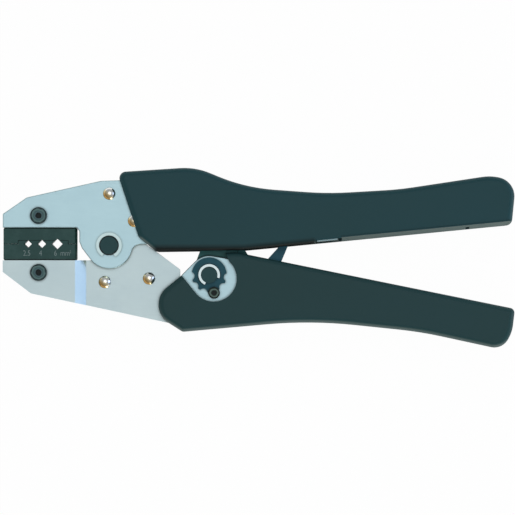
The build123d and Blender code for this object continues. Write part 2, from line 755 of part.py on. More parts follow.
# ---- Pivot pins and rings ---------------------------------------------------
MAIN_RING_Z = OUTER_OUT + RING_LIFT
with BuildPart() as main_pivot_pin:
    pin_end = OUTER_OUT + MAIN_PIN_STAND
    add(rods([MAIN_PIVOT], MAIN_PIN_R, -pin_end, pin_end))
    chamfer(rim_edges(main_pivot_pin, pin_end), MAIN_PIN_CHAMFER)
    chamfer(rim_edges(main_pivot_pin, -pin_end), MAIN_PIN_CHAMFER)
    add(ring_groove(MAIN_PIVOT, MAIN_PIN_R, MAIN_RING_Z), mode=Mode.SUBTRACT)
    add(
        ring_groove(MAIN_PIVOT, MAIN_PIN_R, -MAIN_RING_Z - RING_THICKNESS),
        mode=Mode.SUBTRACT,
    )
finish(main_pivot_pin, "main_pivot_pin")

with BuildPart() as main_pivot_rings:
    add(
        retaining_ring(
            MAIN_PIVOT,
            MAIN_PIN_R,
            MAIN_RING_WALL,
            MAIN_RING_MOUTH,
            MAIN_RING_OPENING,
            MAIN_RING_Z,
        )
    )
    mirror(about=MIDDLE)
finish(main_pivot_rings, "main_pivot_rings")

with BuildPart() as handle_pivot_pin:
    add(rods([HANDLE_PIVOT], HANDLE_PIN_R, -OUTER_OUT, OUTER_OUT))
finish(handle_pivot_pin, "handle_pivot_pin")

with BuildPart() as link_pin:
    add(rods([LINK_PIVOT], LINK_PIN_R, -OUTER_OUT, OUTER_OUT))
finish(link_pin, "link_pin")

with BuildPart() as pawl_pin:
    add(rods([PAWL_PIVOT], PAWL_PIN_R, -OUTER_OUT, OUTER_OUT))
finish(pawl_pin, "pawl_pin")

# ---- Adjusting pin, wheel and lock screw ------------------------------------
with BuildPart() as adjusting_pin:
    pin_end = OUTER_OUT + ADJUSTING_PIN_STAND
    add(rods([ADJUSTING_AXIS], JOURNAL_R, -pin_end, pin_end))
    add(rods([TOGGLE_PIVOT], ECCENTRIC_R, -INNER_OUT, INNER_OUT))
    add(ring_groove(ADJUSTING_AXIS, JOURNAL_R, WHEEL_TOP + RING_LIFT), mode=Mode.SUBTRACT)
    add(
        ring_groove(ADJUSTING_AXIS, JOURNAL_R, -MAIN_RING_Z - RING_THICKNESS),
        mode=Mode.SUBTRACT,
    )
finish(adjusting_pin, "adjusting_pin")

with BuildPart() as adjusting_wheel:
    with BuildSketch(layer(WHEEL_Z)):
        with Locations(ADJUSTING_AXIS):
            Circle(WHEEL_R)
            Circle(JOURNAL_R + FIT, mode=Mode.SUBTRACT)
        for notch in range(NOTCH_COUNT):
            with Locations(
                polar(ADJUSTING_AXIS, NOTCH_PLACE_R, FIRST_NOTCH + notch * NOTCH_PITCH)
            ):
                Circle(NOTCH_R, mode=Mode.SUBTRACT)
    extrude(amount=WHEEL_THICKNESS)
finish(adjusting_wheel, "adjusting_wheel")

with BuildPart() as adjusting_rings:
    for ring_z in (WHEEL_TOP + RING_LIFT, -MAIN_RING_Z - RING_THICKNESS):
        add(
            retaining_ring(
                ADJUSTING_AXIS,
                JOURNAL_R,
                ADJUSTING_RING_WALL,
                ADJUSTING_RING_MOUTH,
                ADJUSTING_RING_OPENING,
                ring_z,
            )
        )
finish(adjusting_rings, "adjusting_rings")

with BuildPart() as lock_screw:
    head_z = WHEEL_TOP + RING_LIFT
    head_top = head_z + LOCK_SCREW_HEAD_HEIGHT
    add(rods([lock_screw_point], LOCK_SCREW_R, OUTER_IN, head_z))
    add(rods([lock_screw_point], LOCK_SCREW_HEAD_R, head_z, head_top))
    chamfer(rim_edges(lock_screw, head_top), LOCK_SCREW_HEAD_EDGE)
    add(
        socket(lock_screw_point, LOCK_SCREW_SOCKET_R, LOCK_SCREW_SOCKET_DEPTH, head_top),
        mode=Mode.SUBTRACT,
    )
finish(lock_screw, "lock_screw")

# ---- Toggle link and ratchet ------------------------------------------------
hook_ear = (RETURN_HOOK, RETURN_HOOK_PIN_R + HOOK_EAR_MARGIN)
link_rivet_point = (
    (TOGGLE_PIVOT[0] + LINK_PIVOT[0]) / 2,
    (TOGGLE_PIVOT[1] + LINK_PIVOT[1]) / 2,
)
link_bores = (
    ([TOGGLE_PIVOT], ECCENTRIC_R + FIT),
    ([LINK_PIVOT], LINK_PIN_R + OPEN_PIVOT_GAP),
    ([link_rivet_point], LINK_RIVET_R + FIT),
)

with BuildPart() as link_plate_front:
    add(
        slab(
            hull((TOGGLE_PIVOT, LINK_HUB_R), (LINK_PIVOT, LINK_EYE_R)),
            SECTOR_OUT,
            LINK_OUT,
        )
    )
    add(slab(hull((LINK_PIVOT, LINK_EYE_R), hook_ear), SECTOR_OUT, LINK_OUT))
    for points, radius in link_bores:
        add(rods(points, radius, -BIG, BIG), mode=Mode.SUBTRACT)
    add(rods([RETURN_HOOK], RETURN_HOOK_PIN_R + FIT, -BIG, BIG), mode=Mode.SUBTRACT)
finish(link_plate_front, "link_plate_front")
link_plate_rear = mirrored(link_plate_front)
finish(link_plate_rear, "link_plate_rear")

with BuildPart() as ratchet_sector:
    with BuildSketch(layer(-SECTOR_OUT)):
        add(hull((TOGGLE_PIVOT, LINK_HUB_R), (LINK_PIVOT, LINK_EYE_R)))
        root_r = SECTOR_R - TOOTH_DEPTH
        last_tooth = FIRST_TOOTH + TOOTH_COUNT * TOOTH_PITCH
        for radius, start, end in (
            (root_r, SECTOR_START, last_tooth),
            (SECTOR_R, last_tooth, SECTOR_END),
        ):
            with BuildLine():
                rim = CenterArc(TOGGLE_PIVOT, radius, start, end - start)
                Line(TOGGLE_PIVOT, rim @ 0)
                Line(rim @ 1, TOGGLE_PIVOT)
            make_face()
        for tooth in range(TOOTH_COUNT):
            foot = FIRST_TOOTH + tooth * TOOTH_PITCH
            with BuildLine():
                Polyline(
                    TOGGLE_PIVOT,
                    polar(TOGGLE_PIVOT, root_r, foot),
                    polar(TOGGLE_PIVOT, SECTOR_R, foot + TOOTH_LEAN),
                    TOGGLE_PIVOT,
                )
            make_face()
    extrude(amount=SECTOR_THICKNESS)
    for points, radius in link_bores:
        add(rods(points, radius, -BIG, BIG), mode=Mode.SUBTRACT)
finish(ratchet_sector, "ratchet_sector")

with BuildPart() as link_rivet:
    add(rods([link_rivet_point], LINK_RIVET_R, -LINK_OUT, LINK_OUT))
finish(link_rivet, "link_rivet")

with BuildPart() as return_hook_pin:
    add(rods([RETURN_HOOK], RETURN_HOOK_PIN_R, -LINK_OUT, LINK_OUT))
finish(return_hook_pin, "return_hook_pin")

pawl_reach = (
    (PAWL_PIVOT[0] - TOGGLE_PIVOT[0]) ** 2 + (PAWL_PIVOT[1] - TOGGLE_PIVOT[1]) ** 2
) ** 0.5 - SECTOR_R - PAWL_TIP_GAP - PAWL_NOSE_R
nose_point = polar(PAWL_PIVOT, pawl_reach, bearing(PAWL_PIVOT, TOGGLE_PIVOT))
lever_root = polar(PAWL_PIVOT, LEVER_ROOT_REACH, LEVER_ROOT_ANGLE)
lever_point = polar(lever_root, LEVER_LENGTH, LEVER_ANGLE)
lug_point = polar(PAWL_PIVOT, PAWL_LUG_REACH, PAWL_LUG_ANGLE)
with BuildPart() as ratchet_pawl:
    for end_point, end_r in (
        (nose_point, PAWL_NOSE_R),
        (lever_root, LEVER_ROOT_R),
        (lug_point, PAWL_LUG_R),
    ):
        arm = hull((PAWL_PIVOT, PAWL_EYE_R), (end_point, end_r))
        add(slab(arm, -PAWL_OUT, PAWL_OUT))
    lever = hull((lever_root, LEVER_ROOT_R), (lever_point, LEVER_TIP_R))
    add(slab(lever, -PAWL_OUT, PAWL_OUT))
    add(rods([PAWL_PIVOT], PAWL_PIN_R + FIT, -BIG, BIG), mode=Mode.SUBTRACT)
    add(rods([lug_point], PAWL_STUD_R, PAWL_OUT, PAWL_OUT + PAWL_STUD_HEIGHT))
finish(ratchet_pawl, "ratchet_pawl")

# ---- Springs and their posts ------------------------------------------------
return_spring = extension_spring(
    RETURN_HOOK,
    RETURN_POST,
    (RETURN_HOOK_PIN_R, RETURN_POST_R),
    RETURN_COIL_R,
    RETURN_WIRE_R,
    0,
)
finish(return_spring, "return_spring")

with BuildPart() as return_spring_post:
    add(rods([RETURN_POST], RETURN_POST_R, -OUTER_OUT, OUTER_OUT))
finish(return_spring_post, "return_spring_post")

pawl_spring = extension_spring(
    lug_point,
    PAWL_POST,
    (PAWL_STUD_R, PAWL_STUD_R),
    PAWL_COIL_R,
    PAWL_WIRE_R,
    PAWL_OUT + PAWL_STUD_HEIGHT / 2,
)
finish(pawl_spring, "pawl_spring")

with BuildPart() as pawl_spring_post:
    add(rods([PAWL_POST], PAWL_STUD_R, -OUTER_OUT, OUTER_OUT))
finish(pawl_spring_post, "pawl_spring_post")


# ---- Grips ------------------------------------------------------------------
def shell_body(outline, plates, screws):
    """A front half shell: outer form with a rounded edge, hollow, with bosses.

    The hollow follows the outline inside the wall, and the plates' own outline
    with a gap where they pass out through the wall.
    """
    with BuildPart() as shell:
        add(slab(outline, 0, MID_Z))
        fillet(rim_edges(shell, MID_Z), GRIP_EDGE_R)
        chamfer(rim_edges(shell, 0), SEAM_EDGE)
        add(slab(shifted(outline, -GRIP_WALL), 0, ROOF_Z), mode=Mode.SUBTRACT)
        add(slab(shifted(plates, SEAT_GAP), 0, ROOF_Z), mode=Mode.SUBTRACT)
        add(rods(screws, GRIP_BOSS_R, 0, ROOF_Z))
    return shell


def front_shell(body, screws):
    """The front half, with blind screw holes in its bosses."""
    with BuildPart() as shell:
        add(body.part)
        add(rods(screws, GRIP_SCREW_R + FIT, 0, GRIP_SCREW_REACH), mode=Mode.SUBTRACT)
    return shell


def rear_shell(body, screws):
    """The rear half, with screw holes through and sinks for the heads."""
    with BuildPart() as shell:
        mirror(body.part, about=MIDDLE)
        add(rods(screws, GRIP_SCREW_R + FIT, -BIG, 0), mode=Mode.SUBTRACT)
        add(
            rods(screws, GRIP_SCREW_HEAD_R + BOSS_GAP, -BIG, -MID_Z + GRIP_SCREW_SINK),
            mode=Mode.SUBTRACT,
        )
    return shell


def grip_screws(points):
    """Pan head screws from the back, through both shells."""
    seat = -MID_Z + GRIP_SCREW_SINK
    with BuildPart() as row:
        add(rods(points, GRIP_SCREW_R, seat, GRIP_SCREW_REACH))
        add(rods(points, GRIP_SCREW_HEAD_R, seat - GRIP_SCREW_HEAD_HEIGHT, seat))
    return row


def edge_band(start_x, corner, turn):
    """The stock taken off for the slanted face along a grip's inner edge.

    The edge runs straight from one corner of the outline to the other; the face
    starts at start_x and runs out past the first of them.
    """
    run = Vector(turn[0] - corner[0], turn[1] - corner[1]).normalized()
    far_end = Vector(corner[0], corner[1], GRIP_THICKNESS) - run * GRIP_THICKNESS
    across = Plane(origin=far_end, x_dir=(-run.Y, run.X, 0), z_dir=run)
    fall = (GRIP_BAND + GRIP_THICKNESS) * tan(radians(GRIP_BAND_SLOPE))
    with BuildPart() as stock:
        with BuildSketch(across):
            with BuildLine():
                Polyline(
                    (-GRIP_BAND - GRIP_BAND_STEP, GRIP_THICKNESS),
                    (-GRIP_BAND - GRIP_BAND_STEP, -GRIP_BAND_STEP),
                    (-GRIP_BAND, -GRIP_BAND_STEP),
                    (GRIP_THICKNESS, -GRIP_BAND_STEP - fall),
                    (GRIP_THICKNESS, GRIP_THICKNESS),
                    close=True,
                )
            make_face()
        extrude(amount=(far_end.X - start_x) / -run.X)
    return stock.part


upper_body = shell_body(upper_grip_outline, upper_plate_outline.sketch, UPPER_GRIP_SCREWS)
with BuildSketch() as nick:
    add(block(GRIP_NICK_X, (0, LINK_PIVOT[1])))
    add(shifted(upper_grip_outline, -GRIP_NICK_DEPTH), mode=Mode.SUBTRACT)
with upper_body:
    band = edge_band(LUG_X[1] + LUG_WINDOW_END, UPPER_GRIP[-2], UPPER_GRIP[-1])
    add(band, mode=Mode.SUBTRACT)
    add(slab(nick.sketch, GRIP_NICK_FLOOR, BIG), mode=Mode.SUBTRACT)
    mouth = block(UPPER_MOUTH_X, (0, UPPER_HEAD_ROOT[1] + GRIP_WALL))
    add(slab(mouth, 0, MOUTH_Z), mode=Mode.SUBTRACT)
    dome_top = OUTER_OUT + RIVET_HEAD_HEIGHT + SEAT_GAP
    add(rods(UPPER_RIVETS, RIVET_HEAD_R + SEAT_GAP, 0, dome_top), mode=Mode.SUBTRACT)
upper_grip_front = front_shell(upper_body, UPPER_GRIP_SCREWS)
with BuildSketch() as lug_window:
    add(block((LUG_X[0] - TANG_GAP, LUG_X[1] + LUG_WINDOW_END), (0, LINK_PIVOT[1])))
    add(shifted(upper_grip_outline, -LUG_WINDOW_DEPTH), mode=Mode.SUBTRACT)
with BuildSketch() as mouth_edge:
    add(block((UPPER_GRIP[0][0], UPPER_MOUTH_X[1]), (0, UPPER_HEAD_ROOT[1] + GRIP_WALL)))
    add(shifted(upper_grip_outline, -MOUTH_SKIN_WIDTH), mode=Mode.SUBTRACT)
with upper_grip_front:
    add(slab(lug_window.sketch, -BIG, BIG), mode=Mode.SUBTRACT)
    add(slab(mouth_edge.sketch, 0, MID_Z - MOUTH_SKIN), mode=Mode.SUBTRACT)
finish(upper_grip_front, "upper_grip_front")
finish(rear_shell(upper_body, UPPER_GRIP_SCREWS), "upper_grip_rear")
finish(grip_screws(UPPER_GRIP_SCREWS), "upper_grip_screws")

with BuildSketch() as wheel_window:
    add(disc(WINDOW_CENTRE, WINDOW_R))
    with BuildLine():
        grip_tip = (LOWER_GRIP[0][0], LOWER_GRIP[0][1])
        Polyline(
            grip_tip,
            polar(
                WINDOW_CENTRE,
                WINDOW_R,
                bearing(WINDOW_CENTRE, grip_tip) + WINDOW_EDGE_TURN,
            ),
            WINDOW_CENTRE,
            WINDOW_TOP[1],
            WINDOW_TOP[0],
            (WINDOW_TOP[0][0], BIG),
            (grip_tip[0], BIG),
            grip_tip,
        )
    make_face()

lower_body = shell_body(lower_grip_outline, lower_plate_outline.sketch, LOWER_GRIP_SCREWS)
with lower_body:
    add(slab(block(LOWER_MOUTH_X, LOWER_MOUTH_Y), 0, MOUTH_Z), mode=Mode.SUBTRACT)
    top_mouth = block(LOWER_TOP_MOUTH_X, LOWER_TOP_MOUTH_Y)
    add(slab(top_mouth, 0, MOUTH_Z), mode=Mode.SUBTRACT)
    add(slab(wheel_window.sketch, 0, BIG), mode=Mode.SUBTRACT)
finish(front_shell(lower_body, LOWER_GRIP_SCREWS), "lower_grip_front")
finish(rear_shell(lower_body, LOWER_GRIP_SCREWS), "lower_grip_rear")
finish(grip_screws(LOWER_GRIP_SCREWS), "lower_grip_screws")
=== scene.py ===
"""Looks of a ratchet crimping tool for round pin contacts, in metres.

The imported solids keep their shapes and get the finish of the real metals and
plastics. Coil springs, the die's nest sizes and the studio are made here.
"""
import logging
import math
from dataclasses import dataclass, field
from enum import Enum
from typing import Any

import bpy
import numpy as np
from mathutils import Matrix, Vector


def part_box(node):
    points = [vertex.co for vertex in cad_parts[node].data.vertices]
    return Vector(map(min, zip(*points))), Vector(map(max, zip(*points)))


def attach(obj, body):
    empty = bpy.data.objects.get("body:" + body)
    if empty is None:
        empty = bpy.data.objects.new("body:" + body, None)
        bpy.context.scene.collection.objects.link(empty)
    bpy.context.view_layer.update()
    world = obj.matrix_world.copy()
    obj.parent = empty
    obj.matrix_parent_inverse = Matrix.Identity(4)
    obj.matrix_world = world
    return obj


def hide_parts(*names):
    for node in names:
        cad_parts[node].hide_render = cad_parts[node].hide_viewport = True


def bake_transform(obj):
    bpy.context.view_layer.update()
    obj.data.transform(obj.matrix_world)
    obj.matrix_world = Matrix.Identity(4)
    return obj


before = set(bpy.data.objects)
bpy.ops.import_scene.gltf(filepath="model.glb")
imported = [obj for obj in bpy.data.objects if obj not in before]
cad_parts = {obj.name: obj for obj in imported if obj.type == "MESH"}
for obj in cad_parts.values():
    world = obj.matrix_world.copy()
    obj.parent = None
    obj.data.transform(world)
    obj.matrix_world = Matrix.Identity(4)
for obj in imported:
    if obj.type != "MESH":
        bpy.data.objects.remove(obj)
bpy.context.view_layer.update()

MM = 0.001
LOG = logging.getLogger("crimping_tool")

Tree = bpy.types.NodeTree
Socket = bpy.types.NodeSocket

OILY_SHEEN = 0.25  # specular level of oiled oxide and of matt nylon
DIE_SCREW_HEAD_MM = 3.6  # head radii
LOCK_SCREW_HEAD_MM = 2.5
SPRING_GAP_MM = 0.2  # between a spring's loop and its pin
LOOP_POINTS = 48
LOOP_SWEEP = 320  # degrees of a circle in a loop
TURN_POINTS = 24
CAPITAL_SHARE = 0.7  # a capital's height, by share of the font's size


# ---- Numbers and colours ----------------------------------------------------
def linear(code: str) -> tuple[float, float, float, float]:
    """Turns an sRGB hex colour into linear light.

    Args:
        code: The colour as "#rrggbb".

    Returns:
        Red, green, blue and an alpha of 1.
    """
    srgb = np.array([int(code[i : i + 2], 16) for i in (1, 3, 5)]) / 255
    light = np.where(srgb <= 0.04045, srgb / 12.92, ((srgb + 0.055) / 1.055) ** 2.4)
    return (*light.tolist(), 1.0)


def per_size(size_mm: float) -> float:
    """The texture scale at which one feature has a given size.

    Args:
        size_mm: The feature's size, mm.

    Returns:
        The scale, per metre.
    """
    return 1 / (size_mm * MM)


def centre_of(node: str) -> np.ndarray:
    """The middle of a CAD node's box at rest.

    Args:
        node: The node's name.

    Returns:
        The point, in metres.
    """
    low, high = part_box(node)
    return (np.array(low) + np.array(high)) / 2


# ---- Materials --------------------------------------------------------------
def add_node(
    tree: Tree,
    kind: str,
    values: dict[int | str, Any] | None = None,
    links: dict[int | str, Socket] | None = None,
    **settings: Any,
) -> bpy.types.Node:
    """Adds one node to a tree.

    Args:
        tree: The tree that takes the node.
        kind: The node's type.
        values: Constants for input sockets, by name or number.
        links: Output sockets to join to input sockets, by name or number.
        **settings: The node's own properties.

    Returns:
        The new node.
    """
    node = tree.nodes.new(kind)
    for name, value in settings.items():
        setattr(node, name, value)
    for socket, value in (values or {}).items():
        node.inputs[socket].default_value = value
    for socket, output in (links or {}).items():
        tree.links.new(output, node.inputs[socket])
    return node


def maths(tree: Tree, operation: str, *terms: float | Socket) -> Socket:
    """Works out one sum.

    Args:
        tree: The tree that takes the node.
        operation: The math node's operation.
        *terms: Constants and output sockets, in the node's order.

    Returns:
        The result.
    """
    constants = {i: term for i, term in enumerate(terms) if isinstance(term, float)}
    joined = {i: term for i, term in enumerate(terms) if not isinstance(term, float)}
    node = add_node(tree, "ShaderNodeMath", constants, joined, operation=operation)
    return node.outputs[0]


def ranged(
    tree: Tree,
    value: Socket,
    start: float,
    end: float,
    low: float = 0.0,
    high: float = 1.0,
) -> Socket:
    """Maps a value from one range to another and holds it at the ends.

    Args:
        tree: The tree that takes the node.
        value: The value.
        start: The value that gives low.
        end: The value that gives high.
        low: The result at the start.
        high: The result at the end.

    Returns:
        The mapped value.
    """
    node = add_node(
        tree,
        "ShaderNodeMapRange",
        {"From Min": start, "From Max": end, "To Min": low, "To Max": high},
        {"Value": value},
    )
    return node.outputs[0]


def spread(
    tree: Tree, pattern: Socket, middle: float, below: float, above: float
) -> Socket:
    """Varies a roughness with a pattern.

    Args:
        tree: The tree that takes the node.
        pattern: A pattern from 0 to 1.
        middle: The roughness to vary.
        below: How far the pattern's 0 lies under it.
        above: How far the pattern's 1 lies over it.

    Returns:
        The roughness.
    """
    return ranged(tree, pattern, 0.0, 1.0, middle - below, middle + above)


def noise(
    tree: Tree, place: Socket, size_mm: float, detail: float, roughness: float = 0.5
) -> Socket:
    """Adds a noise pattern.

    Args:
        tree: The tree that takes the node.
        place: The coordinates.
        size_mm: The size of one patch, mm.
        detail: How many finer layers it has.
        roughness: How strong the finer layers are.

    Returns:
        The pattern, from 0 to 1.
    """
    node = add_node(
        tree,
        "ShaderNodeTexNoise",
        {"Scale": per_size(size_mm), "Detail": detail, "Roughness": roughness},
        {"Vector": place},
    )
    return node.outputs["Fac"]


def stretched(tree: Tree, place: Socket, width_mm: float, run_mm: float) -> Socket:
    """Draws coordinates out along X, so that a pattern runs in lines.

    Args:
        tree: The tree that takes the node.
        place: The coordinates.
        width_mm: A line's width, mm.
        run_mm: A line's length, mm.

    Returns:
        The drawn-out coordinates.
    """
    node = add_node(
        tree,
        "ShaderNodeMapping",
        {"Scale": (width_mm / run_mm, 1.0, 1.0)},
        {"Vector": place},
    )
    return node.outputs[0]


def mixed(
    tree: Tree, share: Socket, first: str | Socket, second: str | Socket
) -> Socket:
    """Mixes two colours.

    Args:
        tree: The tree that takes the node.
        share: How much of the second colour shows.
        first: A hex code or a socket.
        second: A hex code or a socket.

    Returns:
        The mixed colour.
    """
    values, links = {}, {0: share}
    for socket, colour in ((6, first), (7, second)):
        if isinstance(colour, str):
            values[socket] = linear(colour)
        else:
            links[socket] = colour
    node = add_node(tree, "ShaderNodeMix", values, links, data_type="RGBA")
    return node.outputs[2]


def bumped(tree: Tree, height: Socket, strength: float, depth_mm: float) -> Socket:
    """Turns a pattern into small hills.

    Args:
        tree: The tree that takes the node.
        height: The pattern.
        strength: How much of the hills shows.
        depth_mm: Their height, mm.

    Returns:
        The direction of the bumpy face.
    """
    node = add_node(
        tree,
        "ShaderNodeBump",
        {"Strength": strength, "Distance": depth_mm * MM},
        {"Height": height},
    )
    return node.outputs[0]


def with_corner_shade(
    tree: Tree,
    colour: Socket,
    corner_shade: str = "#4a5148",
    reach_mm: float = 1.2,
    strength: float = 0.5,
) -> Socket:
    """Darkens a colour in corners and close to other pieces' feet: painted shade from an
    occlusion node.

    The painted shade starts where 0.92 of the sky over a point is open, and is at
    its full strength where 0.4 of it is.

    Args:
        tree: The tree that takes the nodes.
        colour: The colour without painted shade.
        corner_shade: The painted shade's colour.
        reach_mm: How far the painted shade spreads from a corner.
        strength: How much of the painted shade's colour the deepest corners take.

    Returns:
        The colour with painted shade.
    """
    nook = add_node(
        tree, "ShaderNodeAmbientOcclusion", {"Distance": reach_mm * MM}, samples=8
    )
    deep = ranged(tree, nook.outputs["AO"], 0.92, 0.4, 0.0, strength)
    return mixed(tree, deep, colour, corner_shade)


@dataclass(frozen=True)
class Finish:
    """A finish: its name and the graph that shades it."""

    name: str

    def build(self) -> bpy.types.Material:
        """Makes the material.

        Returns:
            The material, with its shader linked to the output.
        """
        material = bpy.data.materials.new(self.name)
        material.use_nodes = True
        tree = material.node_tree
        tree.nodes.clear()
        shader = self.shade(tree)
        add_node(tree, "ShaderNodeOutputMaterial", links={"Surface": shader.outputs[0]})
        return material

    def shade(self, tree: Tree) -> bpy.types.Node:
        """Builds the shader; each finish has its own.

        Args:
            tree: The material's node tree.

        Returns:
            The shader node.
        """
        raise NotImplementedError


@dataclass(frozen=True)
class ZincPlatedSheet(Finish):
    """Rolled steel sheet, stamped, zinc plated and blue passivated.

    The eye sees a pale blue-grey satin face with soft clouds and a fine rolled
    grain, a thin straw tint where the plating thickens on rounded edges, and
    shade painted into the corners.
    """

    colour: str = "#b6d3da"
    cloud: str = "#abc8d1"
    edge_tint: str = "#cbcab2"
    edge_share: float = 0.8  # how much of the tint the steepest edges take
    edge_lean: tuple[float, float] = (0.78, 0.35)  # Z of the normal: no tint, all of it
    cloud_mm: float = 16.0
    grain_mm: float = 0.35  # the rolled grain is finer; drawn so that it shows
    grain_run_mm: float = 6.0
    roughness: float = 0.36
    grain_depth_mm: float = 0.004

    def shade(self, tree: Tree) -> bpy.types.Node:
        """Clouds over a stretched grain, with a tint where the face turns away.

        Args:
            tree: The material's node tree.

        Returns:
            The shader node.
        """
        place = add_node(tree, "ShaderNodeTexCoord")
        spot = place.outputs["Object"]
        face = mixed(
            tree, noise(tree, spot, self.cloud_mm, 3.0, 0.55), self.colour, self.cloud
        )
        turn = add_node(tree, "ShaderNodeSeparateXYZ", links={0: place.outputs["Normal"]})
        flat = maths(tree, "ABSOLUTE", turn.outputs["Z"])
        edge = ranged(tree, flat, *self.edge_lean, 0.0, self.edge_share)
        tinted = mixed(tree, edge, face, self.edge_tint)
        lines = stretched(tree, spot, self.grain_mm, self.grain_run_mm)
        grain = noise(tree, lines, self.grain_mm, 4.0)
        return add_node(
            tree,
            "ShaderNodeBsdfPrincipled",
            {"Metallic": 1.0},
            {
                # painted shade: the colour darkens in corners and at other pieces' feet
                "Base Color": with_corner_shade(tree, tinted),
                "Roughness": spread(tree, grain, self.roughness, 0.06, 0.08),
                "Normal": bumped(tree, grain, 0.5, self.grain_depth_mm),
            },
        )


@dataclass(frozen=True)
class BlackOxideSteel(Finish):
    """Hardened tool steel, ground and black oxide finished.

    The eye sees a deep blue-green black with faint grinding lines, paler steel
    where handling wears the oxide off in spots, and dark painted shade in the corners.
    """

    colour: str = "#2c4f4b"
    pale: str = "#42635f"
    lines_mm: float = 0.3  # grinding lines are finer; drawn so that they show
    lines_run_mm: float = 9.0
    wear_mm: float = 5.0
    roughness: float = 0.42
    depth_mm: float = 0.006
    # painted shade in the corners: its colour, reach and strength
    corner_shade: str = "#060d0d"
    corner_shade_reach_mm: float = 0.9
    corner_shade_strength: float = 0.85

    def shade(self, tree: Tree) -> bpy.types.Node:
        """Grinding lines along the tool, and soft patches of wear.

        Args:
            tree: The material's node tree.

        Returns:
            The shader node.
        """
        place = add_node(tree, "ShaderNodeTexCoord")
        spot = place.outputs["Object"]
        run = stretched(tree, spot, self.lines_mm, self.lines_run_mm)
        lines = noise(tree, run, self.lines_mm, 3.0)
        wear = noise(tree, spot, self.wear_mm, 4.0, 0.6)
        worn = ranged(tree, wear, 0.45, 0.75, 0.0, 0.6)
        colour = mixed(tree, worn, self.colour, self.pale)
        # painted shade in the corners
        corner_shaded_colour = with_corner_shade(tree, colour, self.corner_shade, self.corner_shade_reach_mm, self.corner_shade_strength)
        return add_node(
            tree,
            "ShaderNodeBsdfPrincipled",
            {"Metallic": 0.0, "Specular IOR Level": OILY_SHEEN},
            {
                "Base Color": corner_shaded_colour,
                "Roughness": spread(tree, lines, self.roughness, 0.08, 0.1),
                "Normal": bumped(tree, lines, 0.5, self.depth_mm),
            },
        )


@dataclass(frozen=True)
class TurnedPin(Finish):
    """Hardened steel, black oxide finished, with a lathe-turned end.

    The eye sees faint rings round the axis on a dark face, with the colours of
    the bands from the axis out and ragged borders between them.
    """

    axis: tuple[float, float]  # metres
    bands: tuple[tuple[float, str], ...]  # share of the reach, colour
    reach_mm: float  # the radius that a share of 1 stands for
    wander: float = 0.3  # how far the bands stray, by share of the reach
    blotch_mm: float = 1.6
    ring_mm: float = 0.45
    roughness: float = 0.4
    depth_mm: float = 0.008

    def shade(self, tree: Tree) -> bpy.types.Node:
        """Waves in rings round the pin's axis.

        Args:
            tree: The material's node tree.

        Returns:
            The shader node.
        """
        place = add_node(tree, "ShaderNodeTexCoord")
        centred = add_node(
            tree,
            "ShaderNodeMapping",
            {"Location": (-self.axis[0], -self.axis[1], 0.0)},
            {"Vector": place.outputs["Object"]},
        )
        # a wave texture makes 20 / (2 pi) rings a metre at a scale of 1
        rings = add_node(
            tree,
            "ShaderNodeTexWave",
            {"Scale": per_size(self.ring_mm) * 2 * math.pi / 20, "Distortion": 0.6},
            {"Vector": centred.outputs[0]},
            wave_type="RINGS",
            rings_direction="Z",
        )
        flat = add_node(
            tree,
            "ShaderNodeVectorMath",
            {1: (1.0, 1.0, 0.0)},
            {0: centred.outputs[0]},
            operation="MULTIPLY",
        )
        radius = add_node(
            tree, "ShaderNodeVectorMath", links={0: flat.outputs[0]}, operation="LENGTH"
        )
        blotch = noise(tree, place.outputs["Object"], self.blotch_mm, 3.0)
        share = maths(
            tree, "MULTIPLY", radius.outputs["Value"], per_size(self.reach_mm)
        )
        ragged = maths(tree, "MULTIPLY_ADD", blotch, self.wander, -self.wander / 2)
        outward = maths(tree, "ADD", share, ragged)
        ramp = add_node(tree, "ShaderNodeValToRGB", links={"Fac": outward})
        stops = ramp.color_ramp.elements
        ends = (self.bands[0], self.bands[-1])
        for stop, (position, colour) in zip(list(stops), ends):
            stop.position, stop.color = position, linear(colour)
        for position, colour in self.bands[1:-1]:
            stops.new(position).color = linear(colour)
        return add_node(
            tree,
            "ShaderNodeBsdfPrincipled",
            {"Metallic": 0.0, "Specular IOR Level": OILY_SHEEN},
            {
                "Base Color": ramp.outputs["Color"],
                "Roughness": spread(tree, blotch, self.roughness, 0.08, 0.12),
                "Normal": bumped(tree, rings.outputs["Fac"], 0.4, self.depth_mm),
            },
        )


@dataclass(frozen=True)
class BrightMetal(Finish):
    """Bare or plated steel with a bright, nearly smooth face.

    The eye sees sharp soft-box reflections, broken a little by handling marks.
    """

    colour: str
    roughness: float
    mark_mm: float = 1.2

    def shade(self, tree: Tree) -> bpy.types.Node:
        """A metal whose roughness varies in small marks.

        Args:
            tree: The material's node tree.

        Returns:
            The shader node.
        """
        place = add_node(tree, "ShaderNodeTexCoord")
        marks = noise(tree, place.outputs["Object"], self.mark_mm, 5.0, 0.65)
        rough = ranged(
            tree, marks, 0.0, 1.0, self.roughness * 0.7, self.roughness * 1.5
        )
        return add_node(
            tree,
            "ShaderNodeBsdfPrincipled",
            {"Base Color": linear(self.colour), "Metallic": 1.0},
            {"Roughness": rough},
        )


